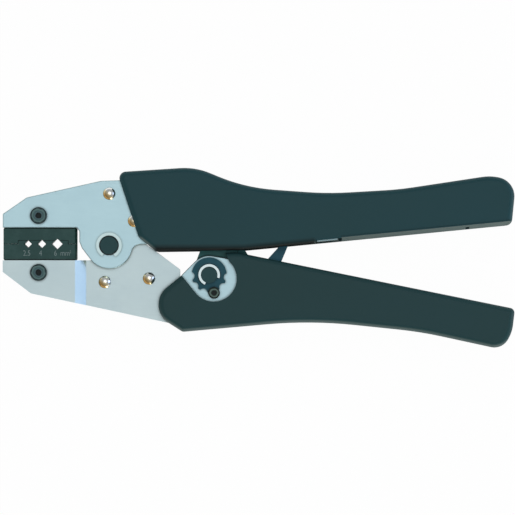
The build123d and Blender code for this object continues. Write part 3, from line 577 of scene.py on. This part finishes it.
@dataclass(frozen=True)
class YellowZincRivet(Finish):
    """Dome head, zinc plated and yellow passivated, with a white highlight painted on one
    side.

    The eye sees a bright silver half, a highlight painted on the side toward the
    lamps, and a straw-gold half that turns brown, as painted shade, on the side turned
    away.
    """

    # a white highlight painted on the side toward +X and +Y, the real yellow zinc gold,
    # and brown painted shade on the side turned away
    bright: str = "#f4f5f2"
    gold: str = "#f3e2b8"
    shade_brown: str = "#c9a062"
    lit_from: tuple[float, float, float] = (0.62, 0.62, 0.0)
    border: tuple[float, float] = (0.12, 0.3)  # where gold turns to the painted highlight
    foot: tuple[float, float] = (-0.12, -0.4)  # where gold turns to brown painted shade
    smear_mm: float = 1.4
    smear_share: float = 0.5
    roughness: float = 0.2

    def shade(self, tree: Tree) -> bpy.types.Node:
        """A metal that turns round its dome from a painted highlight to gold, and to
        painted shade.

        Args:
            tree: The material's node tree.

        Returns:
            The shader node.
        """
        place = add_node(tree, "ShaderNodeTexCoord")
        facing = add_node(
            tree,
            "ShaderNodeVectorMath",
            {1: self.lit_from},
            {0: place.outputs["Normal"]},
            operation="DOT_PRODUCT",
        ).outputs["Value"]
        smear = noise(tree, place.outputs["Object"], self.smear_mm, 3.0)
        side = maths(tree, "MULTIPLY_ADD", smear, self.smear_share, facing)
        # brown painted shade on the side turned away, then the white painted highlight
        # toward +X and +Y
        gold_into_shade = mixed(tree, ranged(tree, facing, *self.foot), self.gold, self.shade_brown)
        colour = mixed(tree, ranged(tree, side, *self.border), gold_into_shade, self.bright)
        return add_node(
            tree,
            "ShaderNodeBsdfPrincipled",
            {"Metallic": 1.0, "Roughness": self.roughness},
            {"Base Color": colour},
        )


@dataclass(frozen=True)
class MouldedPlastic(Finish):
    """Glass-filled nylon, injection moulded in a spark-eroded tool.

    The eye sees a dark blue-green skin with a fine even pebble, a soft sheen,
    very slight changes of tone along its length, painted light on the edges toward
    the lower handle, and painted shade on the lip over the mechanism where a lip is
    given.
    """

    colour: str = "#1c4447"
    shade_colour: str = "#1b474e"
    shade_mm: float = 55.0
    pebble_mm: float = 0.7  # the eroded pebble is about 0.2 mm; drawn to show
    pebble_depth_mm: float = 0.03
    roughness: float = 0.46
    lip: tuple[float, float] | None = None  # where the painted shade on the lower lip runs in X, mm
    lip_y: float = 3.9  # up to here the painted shade is full at its low end, mm
    lip_bend_x: float = -6.1  # from here on the edge climbs, mm
    lip_climb: float = 0.0967
    lip_reach_mm: float = 2.3
    lip_start_mm: float = 1.5  # half the length over which the painted shade begins
    lip_end_mm: float = 0.6  # half the length over which it ends
    # the painted shade's colour on the lip
    lip_shade: str = "#06100e"
    # painted light on the edges toward the lower handle: its colour, share, lean and rise
    edge_light: str = "#74807b"
    edge_light_share: float = 0.75
    edge_light_lean: tuple[float, float] = (20.0, 40.0)  # degrees: none, all of it
    edge_light_rise: tuple[float, float] = (0.15, 0.45)  # Z of the normal: none, all

    def edge_lit_skin(self, tree: Tree, normal: Socket, clean: Socket) -> Socket:
        """Pales the rounded edges toward the lower handle's side: painted light.

        The share of the paler colour rises with the lean toward the lower
        handle's side, and only on faces that also look up.

        Args:
            tree: The material's node tree.
            normal: The face's direction in the object's own frame.
            clean: The colour without the painted light.

        Returns:
            The colour with the painted light on the edges.
        """
        parts = add_node(tree, "ShaderNodeSeparateXYZ", links={0: normal})
        leans = [-math.sin(math.radians(lean)) for lean in self.edge_light_lean]
        lean = ranged(tree, parts.outputs["Y"], *leans, 0.0, self.edge_light_share)
        upper = ranged(tree, parts.outputs["Z"], *self.edge_light_rise)
        return mixed(tree, maths(tree, "MULTIPLY", lean, upper), clean, self.edge_light)

    def shaded_lip(self, tree: Tree, place: Socket, clean: Socket) -> Socket:
        """Darkens the lip over the mechanism with painted shade.

        The painted shade is full up to lip_y, plus the climb past the bend, and
        fades out over lip_reach_mm above that.

        Args:
            tree: The material's node tree.
            place: Object coordinates.
            clean: The colour without the painted shade.

        Returns:
            The colour with the lip darkened.
        """
        parts = add_node(tree, "ShaderNodeSeparateXYZ", links={0: place})
        x, y = parts.outputs["X"], parts.outputs["Y"]
        past = maths(tree, "ADD", x, -self.lip_bend_x * MM)
        ahead = maths(tree, "MAXIMUM", past, 0.0)
        above = maths(tree, "MULTIPLY_ADD", ahead, -self.lip_climb, y)
        low, high = self.lip_y * MM, (self.lip_y + self.lip_reach_mm) * MM
        near = ranged(tree, above, low, high, 1.0, 0.0)
        (start, end), into, out = self.lip, self.lip_start_mm, self.lip_end_mm
        begins = ranged(tree, x, (start - into) * MM, (start + into) * MM)
        ends = ranged(tree, x, (end - out) * MM, (end + out) * MM, 1.0, 0.0)
        along = maths(tree, "MULTIPLY", begins, ends)
        return mixed(tree, maths(tree, "MULTIPLY", along, near), clean, self.lip_shade)

    def shade(self, tree: Tree) -> bpy.types.Node:
        """Fine pebbles over a slow change of tone, with painted light on the edges and
        painted shade on the lip.

        Args:
            tree: The material's node tree.

        Returns:
            The shader node.
        """
        place = add_node(tree, "ShaderNodeTexCoord")
        spot = place.outputs["Object"]
        slow = noise(tree, spot, self.shade_mm, 2.0)
        colour = mixed(tree, slow, self.colour, self.shade_colour)
        # painted light on the edges toward the lower handle
        skin = self.edge_lit_skin(tree, place.outputs["Normal"], colour)
        # painted shade on the lip over the mechanism, where a lip is given
        if self.lip:
            skin = self.shaded_lip(tree, spot, skin)
        pebble = noise(tree, spot, self.pebble_mm, 3.0, 0.6)
        return add_node(
            tree,
            "ShaderNodeBsdfPrincipled",
            {"IOR": 1.5, "Specular IOR Level": OILY_SHEEN},
            {
                "Base Color": skin,
                "Roughness": spread(tree, pebble, self.roughness, 0.06, 0.08),
                "Normal": bumped(tree, pebble, 0.6, self.pebble_depth_mm),
            },
        )


@dataclass(frozen=True)
class MarkingPaint(Finish):
    """Pale grey fill of laser marks, slightly worn."""

    colour: str = "#93a5a3"
    worn: str = "#6d8280"
    spot_mm: float = 0.6

    def shade(self, tree: Tree) -> bpy.types.Node:
        """A matt paint that thins in small spots.

        Args:
            tree: The material's node tree.

        Returns:
            The shader node.
        """
        place = add_node(tree, "ShaderNodeTexCoord")
        thin = noise(tree, place.outputs["Object"], self.spot_mm, 3.0)
        return add_node(
            tree,
            "ShaderNodeBsdfPrincipled",
            {"Roughness": 0.7},
            {"Base Color": mixed(tree, thin, self.colour, self.worn)},
        )


@dataclass(frozen=True)
class StudioPaper(Finish):
    """Matt white paper sweep, which stays white to the eye under the tool."""

    colour: str = "#fafbfb"
    white_share: float = 0.98

    def shade(self, tree: Tree) -> bpy.types.Node:
        """Paper that is mostly plain white where seen, mirrored or seen through.

        Args:
            tree: The material's node tree.

        Returns:
            The shader node.
        """
        rays = add_node(tree, "ShaderNodeLightPath").outputs
        seen = maths(tree, "MAXIMUM", rays["Is Camera Ray"], rays["Is Glossy Ray"])
        either = maths(tree, "MAXIMUM", seen, rays["Is Transmission Ray"])
        share = maths(tree, "MULTIPLY", either, self.white_share)
        paper = add_node(tree, "ShaderNodeBsdfDiffuse", {"Color": linear(self.colour)})
        white = add_node(
            tree, "ShaderNodeEmission", {"Color": (1, 1, 1, 1), "Strength": 1.0}
        )
        return add_node(
            tree,
            "ShaderNodeMixShader",
            links={0: share, 1: paper.outputs[0], 2: white.outputs[0]},
        )


class Slot(Enum):
    """Names of two material slots of the record; no piece here is given them."""

    DARK_STEEL = "dark_steel"
    SPRING_WIRE = "spring_wire"


PIN_BANDS = ((0.0, "#21484a"), (0.8, "#21484a"), (0.93, "#0d2022"), (1.0, "#0b1b1c"))
# die screw heads: a dark centre painted as shade in the socket, light rings painted as
# the highlight on the head, and a dark rim
DIE_SCREW_PAINTED_BANDS = (
    (0.0, "#132627"),
    (0.34, "#132829"),
    (0.42, "#557378"),
    (0.54, "#3e5b5e"),
    (0.64, "#53726f"),
    (0.76, "#617f7e"),
    (0.86, "#1f3738"),
    (1.0, "#14282a"),
)
# lock screw head: a dark centre painted as shade in the socket, a light ring painted as
# the highlight on the socket's rim, and a dark rim
LOCK_SCREW_PAINTED_BANDS = (
    (0.0, "#0f1f1e"),
    (0.44, "#13251f"),
    (0.54, "#4c6158"),
    (0.7, "#6d8378"),
    (0.8, "#17271f"),
    (1.0, "#13221b"),
)


def width_mm(node: str) -> float:
    """How wide a CAD node is across the tool.

    Args:
        node: The node's name.

    Returns:
        Its size along Y, mm.
    """
    low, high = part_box(node)
    return float(high[1] - low[1]) / MM


def turned(
    node: str, bands: tuple[tuple[float, str], ...], reach_mm: float
) -> TurnedPin:
    """The turned finish of one pin or screw, about its own axis.

    Args:
        node: The node's name.
        bands: Colours from the axis out, by share of the reach.
        reach_mm: The head's radius.

    Returns:
        The finish.
    """
    x, y, _ = centre_of(node)
    return TurnedPin(f"turned_{node}", (float(x), float(y)), bands, reach_mm)


def dress(material: bpy.types.Material, *nodes: str) -> None:
    """Gives CAD nodes a finish, keeping their meshes.

    Args:
        material: The finish.
        *nodes: Names of CAD nodes.
    """
    for node in nodes:
        for mesh_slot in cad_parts[node].material_slots:
            mesh_slot.material = material
        LOG.info("dressed %s in %s", node, material.name)


# ---- Meshes -----------------------------------------------------------------
def grid_mesh(
    name: str, rows: np.ndarray, material: bpy.types.Material
) -> bpy.types.Object:
    """A closed tube from a grid of points, with flat fans on both ends.

    Args:
        name: The piece's name.
        rows: Points, shaped (rings, points round a ring, 3), in metres.
        material: The finish.

    Returns:
        The new object, linked to the scene.
    """
    count, around, _ = rows.shape
    ring = np.arange(count - 1)[:, None] * around
    here = np.arange(around)[None, :]
    after = (here + 1) % around
    beyond = ring + around
    quads = np.stack(
        [ring + here, ring + after, beyond + after, beyond + here], axis=-1
    ).reshape(-1, 4)
    points = np.concatenate([rows.reshape(-1, 3), rows[[0, -1]].mean(axis=1)])
    first, last = np.full((2, around), [[count * around], [count * around + 1]])
    top = (count - 1) * around
    fans = np.concatenate(
        [
            np.stack([first, after[0], here[0]], axis=-1),
            np.stack([last, top + here[0], top + after[0]], axis=-1),
        ]
    )
    mesh = bpy.data.meshes.new(name)
    mesh.from_pydata(points.tolist(), [], quads.tolist() + fans.tolist())
    mesh.polygons.foreach_set("use_smooth", np.ones(len(mesh.polygons), bool))
    mesh.materials.append(material)
    piece = bpy.data.objects.new(name, mesh)
    bpy.context.scene.collection.objects.link(piece)
    return piece


def wire_tube(
    path: np.ndarray, normals: np.ndarray, radius: float, sides: int
) -> np.ndarray:
    """A round wire along a path.

    Each ring is the path's point plus radius times cos v along the normal and
    sin v along the binormal, with the normal made square to the path first.

    Args:
        path: Points along the wire, shaped (n, 3).
        normals: A direction roughly square to the path at each point.
        radius: The wire's radius.
        sides: Points round the wire.

    Returns:
        Points shaped (n, sides, 3).
    """
    ahead = np.gradient(path, axis=0)
    ahead /= np.linalg.norm(ahead, axis=1, keepdims=True)
    normals = normals - (normals * ahead).sum(axis=1, keepdims=True) * ahead
    normals /= np.linalg.norm(normals, axis=1, keepdims=True)
    across = np.cross(ahead, normals)
    angle = np.linspace(0, 2 * math.pi, sides, endpoint=False)[None, :, None]
    ring = np.cos(angle) * normals[:, None, :] + np.sin(angle) * across[:, None, :]
    return path[:, None, :] + radius * ring


# ---- Sub-assemblies ---------------------------------------------------------
@dataclass
class ExtensionSpring:
    """A close-wound spring with a loop at each end, hooked round two pins."""

    name: str
    node: str
    body: str
    start: np.ndarray  # pin centres, metres
    end: np.ndarray
    start_pin_mm: float
    end_pin_mm: float
    coil_mm: float  # outer radius
    wire_mm: float  # wire radius
    room_mm: float  # from a pin's centre to the first turn
    pitch_share: float = 1.06  # turn to turn, in wire diameters
    sides: int = 10
    start_body: str | None = None  # a body the start loop sits on; when set, the spring is baked in place and joins no body

    def path(self) -> tuple[np.ndarray, np.ndarray]:
        """The wire's centreline, end loop to end loop.

        Along the axis x runs from pin to pin. A loop is a circle of the pin's
        radius plus gap and wire in the flat plane, from 40 degrees short of the
        axis round to it. A helix of the coil's mean radius joins the loops, and
        a cosine brings the wire from the axis out to it and back.

        Returns:
            Points and rough normals, each shaped (n, 3).
        """
        along = self.end - self.start
        run = float(np.linalg.norm(along)) / MM
        mean = self.coil_mm - self.wire_mm
        pitch = 2 * self.wire_mm * self.pitch_share
        coil_run = run - 2 * self.room_mm
        turns = math.floor(coil_run / pitch)
        loops = []
        for pin, flip in ((self.start_pin_mm, 1.0), (self.end_pin_mm, -1.0)):
            loop_r = pin + SPRING_GAP_MM + self.wire_mm
            angle = np.linspace(math.radians(-LOOP_SWEEP), 0.0, LOOP_POINTS)[:, None]
            x, y = loop_r * np.cos(angle), loop_r * np.sin(angle)
            outward = np.hstack([np.cos(angle), np.sin(angle), 0 * angle])
            points = np.hstack([x, y, 0 * angle])
            if flip < 0:
                mirror = np.array([-1.0, 1.0, 1.0])
                points = points[::-1] * mirror + np.array([run, 0, 0])
                outward = outward[::-1] * mirror
            loops.append((points, outward))
        share = np.linspace(0.0, 1.0, turns * TURN_POINTS + 1)[:, None]
        ease = np.clip(np.minimum(share, 1 - share) * turns * 2, 0, 1)
        lift = mean * (1 - np.cos(math.pi * ease)) / 2
        theta = 2 * math.pi * turns * share
        turn_x = self.room_mm + coil_run * share
        radial = np.hstack([0 * theta, np.cos(theta), np.sin(theta)])
        helix = np.hstack([turn_x, lift * np.cos(theta), lift * np.sin(theta)])
        path = np.vstack([loops[0][0], helix, loops[1][0]])
        normal = np.vstack([loops[0][1], radial, loops[1][1]])
        axis = along / np.linalg.norm(along)
        up = np.array([0.0, 0.0, 1.0])
        basis = np.vstack([axis, np.cross(up, axis), up])
        return self.start + path @ basis * MM, normal @ basis

    def build(self, material: bpy.types.Material) -> bpy.types.Object:
        """Makes the spring and puts it in the place of its plain solid.

        Args:
            material: The wire's finish.

        Returns:
            The spring's object.
        """
        path, normals = self.path()
        rows = wire_tube(path, normals, self.wire_mm * MM, self.sides)
        piece = grid_mesh(self.name, rows, material)
        if self.start_body:
            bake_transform(piece)
        else:
            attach(piece, self.body)
        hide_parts(self.node)
        LOG.info("made %s", self.name)
        return piece


@dataclass
class NestMarks:
    """The wire sizes marked under the lower die's nests."""

    height_mm: float = 2.3
    width_share: float = 0.82
    relief_mm: float = 0.02
    line_y_mm: float = 1.0  # foot of the figures
    marks: tuple[tuple[str, float], ...] = (
        ("2.5", -99.3),
        ("4", -93.4),
        ("6", -87.0),
        ("mm", -82.9),
    )
    power: tuple[str, float, float, float] = ("2", -80.6, 2.1, 1.2)
    body: str = "lower_jaw"
    node: str = "lower_die"

    def write(
        self, text: str, x_mm: float, foot_mm: float, height_mm: float
    ) -> tuple[np.ndarray, np.ndarray]:
        """One word as a thin raised mesh on the die's front face.

        A point is the flat letter's point, narrowed, moved to its place along
        and across the jaw, and lifted to the die's highest face.

        Args:
            text: The word.
            x_mm: Its middle along the jaw.
            foot_mm: Its foot across the jaw.
            height_mm: The height of a capital.

        Returns:
            The word's points, in metres, and its triangles.
        """
        curve = bpy.data.curves.new("word", "FONT")
        curve.body = text
        curve.align_x = "CENTER"
        curve.size = height_mm * MM / CAPITAL_SHARE
        curve.extrude = self.relief_mm * MM
        holder = bpy.data.objects.new("word", curve)
        bpy.context.scene.collection.objects.link(holder)
        bpy.context.view_layer.update()
        shape = bpy.data.meshes.new_from_object(
            holder.evaluated_get(bpy.context.evaluated_depsgraph_get())
        )
        bpy.data.objects.remove(holder)
        bpy.data.curves.remove(curve)
        shape.calc_loop_triangles()
        points = np.empty(len(shape.vertices) * 3, np.float32)
        shape.vertices.foreach_get("co", points)
        points = points.reshape(-1, 3)
        points[:, 0] = points[:, 0] * self.width_share + x_mm * MM
        points[:, 1] += foot_mm * MM
        points[:, 2] += float(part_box(self.node)[1][2])
        faces = np.empty(len(shape.loop_triangles) * 3, np.int32)
        shape.loop_triangles.foreach_get("vertices", faces)
        bpy.data.meshes.remove(shape)
        return points, faces.reshape(-1, 3)

    def build(self, material: bpy.types.Material) -> bpy.types.Object:
        """Joins the words into one piece that rides on the moving jaw.

        Args:
            material: The paint.

        Returns:
            The marks' object.
        """
        lines = [
            self.write(text, x_mm, self.line_y_mm, self.height_mm)
            for text, x_mm in self.marks
        ]
        lines.append(self.write(*self.power))
        points = np.concatenate([corners for corners, _ in lines])
        starts = np.cumsum([0] + [len(corners) for corners, _ in lines[:-1]])
        faces = np.concatenate([part + at for (_, part), at in zip(lines, starts)])
        mesh = bpy.data.meshes.new("nest_sizes")
        mesh.from_pydata(points.tolist(), [], faces.tolist())
        mesh.materials.append(material)
        piece = bpy.data.objects.new("nest_sizes", mesh)
        bpy.context.scene.collection.objects.link(piece)
        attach(piece, self.body)
        LOG.info("made nest_sizes")
        return piece


@dataclass
class Jaws:
    """The plated side plates, the dies and what holds them."""

    plate: Finish = ZincPlatedSheet("zinc_plated_sheet")
    moving_plate: Finish = ZincPlatedSheet(
        "zinc_plated_moving_sheet", colour="#c1d1d3", cloud="#b5c7cc"
    )
    die: Finish = BlackOxideSteel("black_oxide_die")
    rivet: Finish = YellowZincRivet("yellow_zinc_rivet")
    marks: NestMarks = field(default_factory=NestMarks)
    paint: Finish = MarkingPaint("grey_laser_marks")

    def build(self) -> None:
        """Dresses the plates, dies, screws and rivets and marks the nests."""
        dress(
            self.plate.build(),
            "upper_plate_front",
            "upper_plate_rear",
            "lower_handle_plate_front",
            "lower_handle_plate_rear",
        )
        dress(
            self.moving_plate.build(),
            "lower_jaw_plate_front",
            "lower_jaw_plate_rear",
            "head_spacer",
            "lower_jaw_spacer",
            "upper_handle_spacers",
            "lower_handle_spacers",
        )
        dress(self.die.build(), "upper_die", "lower_die")
        for node in ("upper_die_screw", "lower_die_screw"):
            dress(turned(node, DIE_SCREW_PAINTED_BANDS, DIE_SCREW_HEAD_MM).build(), node)
        dress(
            self.rivet.build(),
            "head_rivets",
            "lower_jaw_rivets",
            "upper_handle_rivets",
            "lower_handle_rivets",
        )
        self.marks.build(self.paint.build())


@dataclass
class Pins:
    """The turned pins, each with rings round its own axis."""

    nodes: tuple[str, ...] = (
        "main_pivot_pin",
        "handle_pivot_pin",
        "adjusting_pin",
        "link_pin",
        "pawl_pin",
        "return_spring_post",
        "pawl_spring_post",
        "return_hook_pin",
        "link_rivet",
    )
    main_ring: Finish = ZincPlatedSheet(
        "zinc_plated_ring", colour="#c3d8d8", cloud="#b8cdd0", roughness=0.32
    )
    ring: Finish = BrightMetal("bright_spring_steel", colour="#c3d0d2", roughness=0.24)

    def build(self) -> None:
        """Dresses every pin and the retaining rings."""
        for node in self.nodes:
            dress(turned(node, PIN_BANDS, width_mm(node) / 2).build(), node)
        dress(self.main_ring.build(), "main_pivot_rings")
        dress(self.ring.build(), "adjusting_rings")


@dataclass
class Drive:
    """The adjusting wheel, the toggle link, the ratchet and its pawl."""

    wheel: Finish = BlackOxideSteel(
        "black_oxide_wheel", colour="#195562", pale="#2c6472", lines_mm=0.4, wear_mm=3.0
    )
    # the link's oxide is brighter and greener than the die's: painted light that lifts it
    # out of the shade between the grips
    link: Finish = BlackOxideSteel("black_oxide_link_brightened", colour="#2e7271", pale="#3f7f7e")
    pawl: Finish = BlackOxideSteel("black_oxide_pawl", colour="#246274", pale="#367484")
    screw: Finish = BlackOxideSteel(
        "black_oxide_grip_screw", colour="#33483f", pale="#5a6f60", wear_mm=1.5
    )

    def build(self) -> None:
        """Dresses the drive."""
        dress(self.wheel.build(), "adjusting_wheel")
        dress(
            self.link.build(),
            "link_plate_front",
            "link_plate_rear",
            "ratchet_sector",
        )
        dress(self.pawl.build(), "ratchet_pawl")
        lock = turned("lock_screw", LOCK_SCREW_PAINTED_BANDS, LOCK_SCREW_HEAD_MM)
        dress(lock.build(), "lock_screw")
        dress(self.screw.build(), "upper_grip_screws", "lower_grip_screws")


@dataclass
class Springs:
    """The return spring and the pawl's spring."""

    wire: Finish = BrightMetal("drawn_spring_wire", colour="#8d9a9c", roughness=0.32)
    pawl_pin_mm: float = 0.8  # radii of the pawl spring's pins and wire
    pawl_wire_mm: float = 0.25
    room_mm: float = 3.4

    def build(self) -> None:
        """Makes both springs between their pins."""
        material = self.wire.build()
        hook, post = centre_of("return_hook_pin"), centre_of("return_spring_post")
        ExtensionSpring(
            "return_coil_spring",
            "return_spring",
            "frame",
            hook,
            post,
            start_pin_mm=1.1,
            end_pin_mm=1.5,
            coil_mm=2.4,
            wire_mm=0.4,
            room_mm=self.room_mm,
        ).build(material)
        low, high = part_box("pawl_spring")
        loop = (self.pawl_pin_mm + SPRING_GAP_MM + 2 * self.pawl_wire_mm) * MM
        pawl_post = centre_of("pawl_spring_post")
        height = (low[2] + high[2]) / 2
        ExtensionSpring(
            "pawl_coil_spring",
            "pawl_spring",
            "lower_handle",
            np.array([low[0] + loop, high[1] - loop, height]),
            np.array([pawl_post[0], pawl_post[1], height]),
            start_pin_mm=self.pawl_pin_mm,
            end_pin_mm=self.pawl_pin_mm,
            coil_mm=1.0,
            wire_mm=self.pawl_wire_mm,
            room_mm=self.room_mm,
            start_body="ratchet_pawl",
        ).build(material)


@dataclass
class Grips:
    """The moulded shells of both handles."""

    # the upper grip's lip from X -45 to 24.4 mm gets painted shade
    upper: Finish = MouldedPlastic("moulded_nylon", lip=(-45.0, 24.4))
    lower: Finish = MouldedPlastic(
        "moulded_nylon_greener",
        colour="#214140",
        shade_colour="#1e4448",
        # weaker painted light on the lower grip's edges
        edge_light_share=0.4,
    )

    def build(self) -> None:
        """Dresses the four shells."""
        dress(self.upper.build(), "upper_grip_front", "upper_grip_rear")
        dress(self.lower.build(), "lower_grip_front", "lower_grip_rear")


@dataclass
class SoftBox:
    """A square area lamp that looks at a point."""

    name: str
    place: tuple[float, float, float]
    aim: tuple[float, float, float]
    size: float
    radiance: float
    colour: str = "#ffffff"

    def build(self) -> None:
        """Adds the lamp.

        A square lamp of radiance L and side s gives pi L s squared watts.
        """
        data = bpy.data.lights.new(self.name, "AREA")
        data.shape = "SQUARE"
        data.size = self.size
        data.energy = math.pi * self.radiance * self.size**2
        data.color = linear(self.colour)[:3]
        lamp = bpy.data.objects.new(self.name, data)
        away = np.array(self.place) - np.array(self.aim)
        away = away / np.linalg.norm(away)
        lamp.location = self.place
        lamp.rotation_euler = (
            math.acos(float(away[2])),
            0.0,
            math.atan2(float(away[0]), -float(away[1])),
        )
        lamp.visible_camera = False
        bpy.context.scene.collection.objects.link(lamp)


@dataclass
class Studio:
    """Paper floor, soft boxes, even sky and the camera above the tool."""

    frame_width: float = 0.22109  # what the view takes in, metres
    centre: tuple[float, float] = (-0.0003, 0.0002)
    in_focus: float = 0.0165  # height at which the view is frame_width across
    lens_mm: float = 400.0
    floor_side: float = 12.0
    floor_z: float = -0.0001  # just under the tool
    sky: str = "#f2f5f6"
    zenith: float = 0.4
    horizon: float = 1.2
    horizon_top: float = 0.45  # sine of the height where the bright rim ends
    boxes: tuple[SoftBox, ...] = (
        SoftBox("overhead_box", (0.1, 0.2, 1.5), (0, 0, 0), 1.2, 0.91),
        SoftBox("right_box", (1.25, 0.15, 0.62), (0, 0, 0), 0.7, 1.85, "#b2cffa"),
        SoftBox("near_strip", (0.5, -1.5, 0.22), (0, 0, 0), 0.42, 8.0, "#f4fbf4"),
        SoftBox("end_strip", (1.6, -0.3, 0.2), (0, 0, 0), 0.35, 6.0),
    )
    paper: Finish = StudioPaper("white_paper")

    def build(self) -> None:
        """Adds the floor, the sky, the lamps and the camera."""
        scene = bpy.context.scene
        scene.view_settings.view_transform = "Standard"
        half = self.floor_side / 2
        mesh = bpy.data.meshes.new("floor")
        flat = ((-half, -half), (half, -half), (half, half), (-half, half))
        corners = [(*corner, self.floor_z) for corner in flat]
        mesh.from_pydata(corners, [], [(0, 1, 2, 3)])
        mesh.materials.append(self.paper.build())
        floor = bpy.data.objects.new("floor", mesh)
        scene.collection.objects.link(floor)
        world = bpy.data.worlds.new("studio")
        scene.world = world
        world.use_nodes = True
        tree = world.node_tree
        tree.nodes.clear()
        place = add_node(tree, "ShaderNodeTexCoord")
        turn = add_node(
            tree, "ShaderNodeSeparateXYZ", links={0: place.outputs["Generated"]}
        )
        rim = add_node(
            tree,
            "ShaderNodeMapRange",
            {
                "From Min": 0.0,
                "From Max": self.horizon_top,
                "To Min": self.horizon,
                "To Max": self.zenith,
            },
            {"Value": turn.outputs["Z"]},
            interpolation_type="SMOOTHSTEP",
        )
        sky = add_node(
            tree,
            "ShaderNodeBackground",
            {"Color": linear(self.sky)},
            {"Strength": rim.outputs[0]},
        )
        add_node(tree, "ShaderNodeOutputWorld", links={"Surface": sky.outputs[0]})
        for box in self.boxes:
            box.build()
        data = bpy.data.cameras.new("camera")
        data.lens = self.lens_mm
        camera = bpy.data.objects.new("camera", data)
        distance = self.frame_width * self.lens_mm / data.sensor_width
        camera.location = (*self.centre, self.in_focus + distance)
        data.clip_end = 3 * distance
        scene.collection.objects.link(camera)
        scene.camera = camera
        LOG.info("made the studio")


def main() -> None:
    """Builds every sub-assembly."""
    logging.basicConfig(level=logging.INFO, format="%(message)s")
    Studio().build()
    Jaws().build()
    Pins().build()
    Drive().build()
    Springs().build()
    Grips().build()


if __name__ == "__main__":
    main()
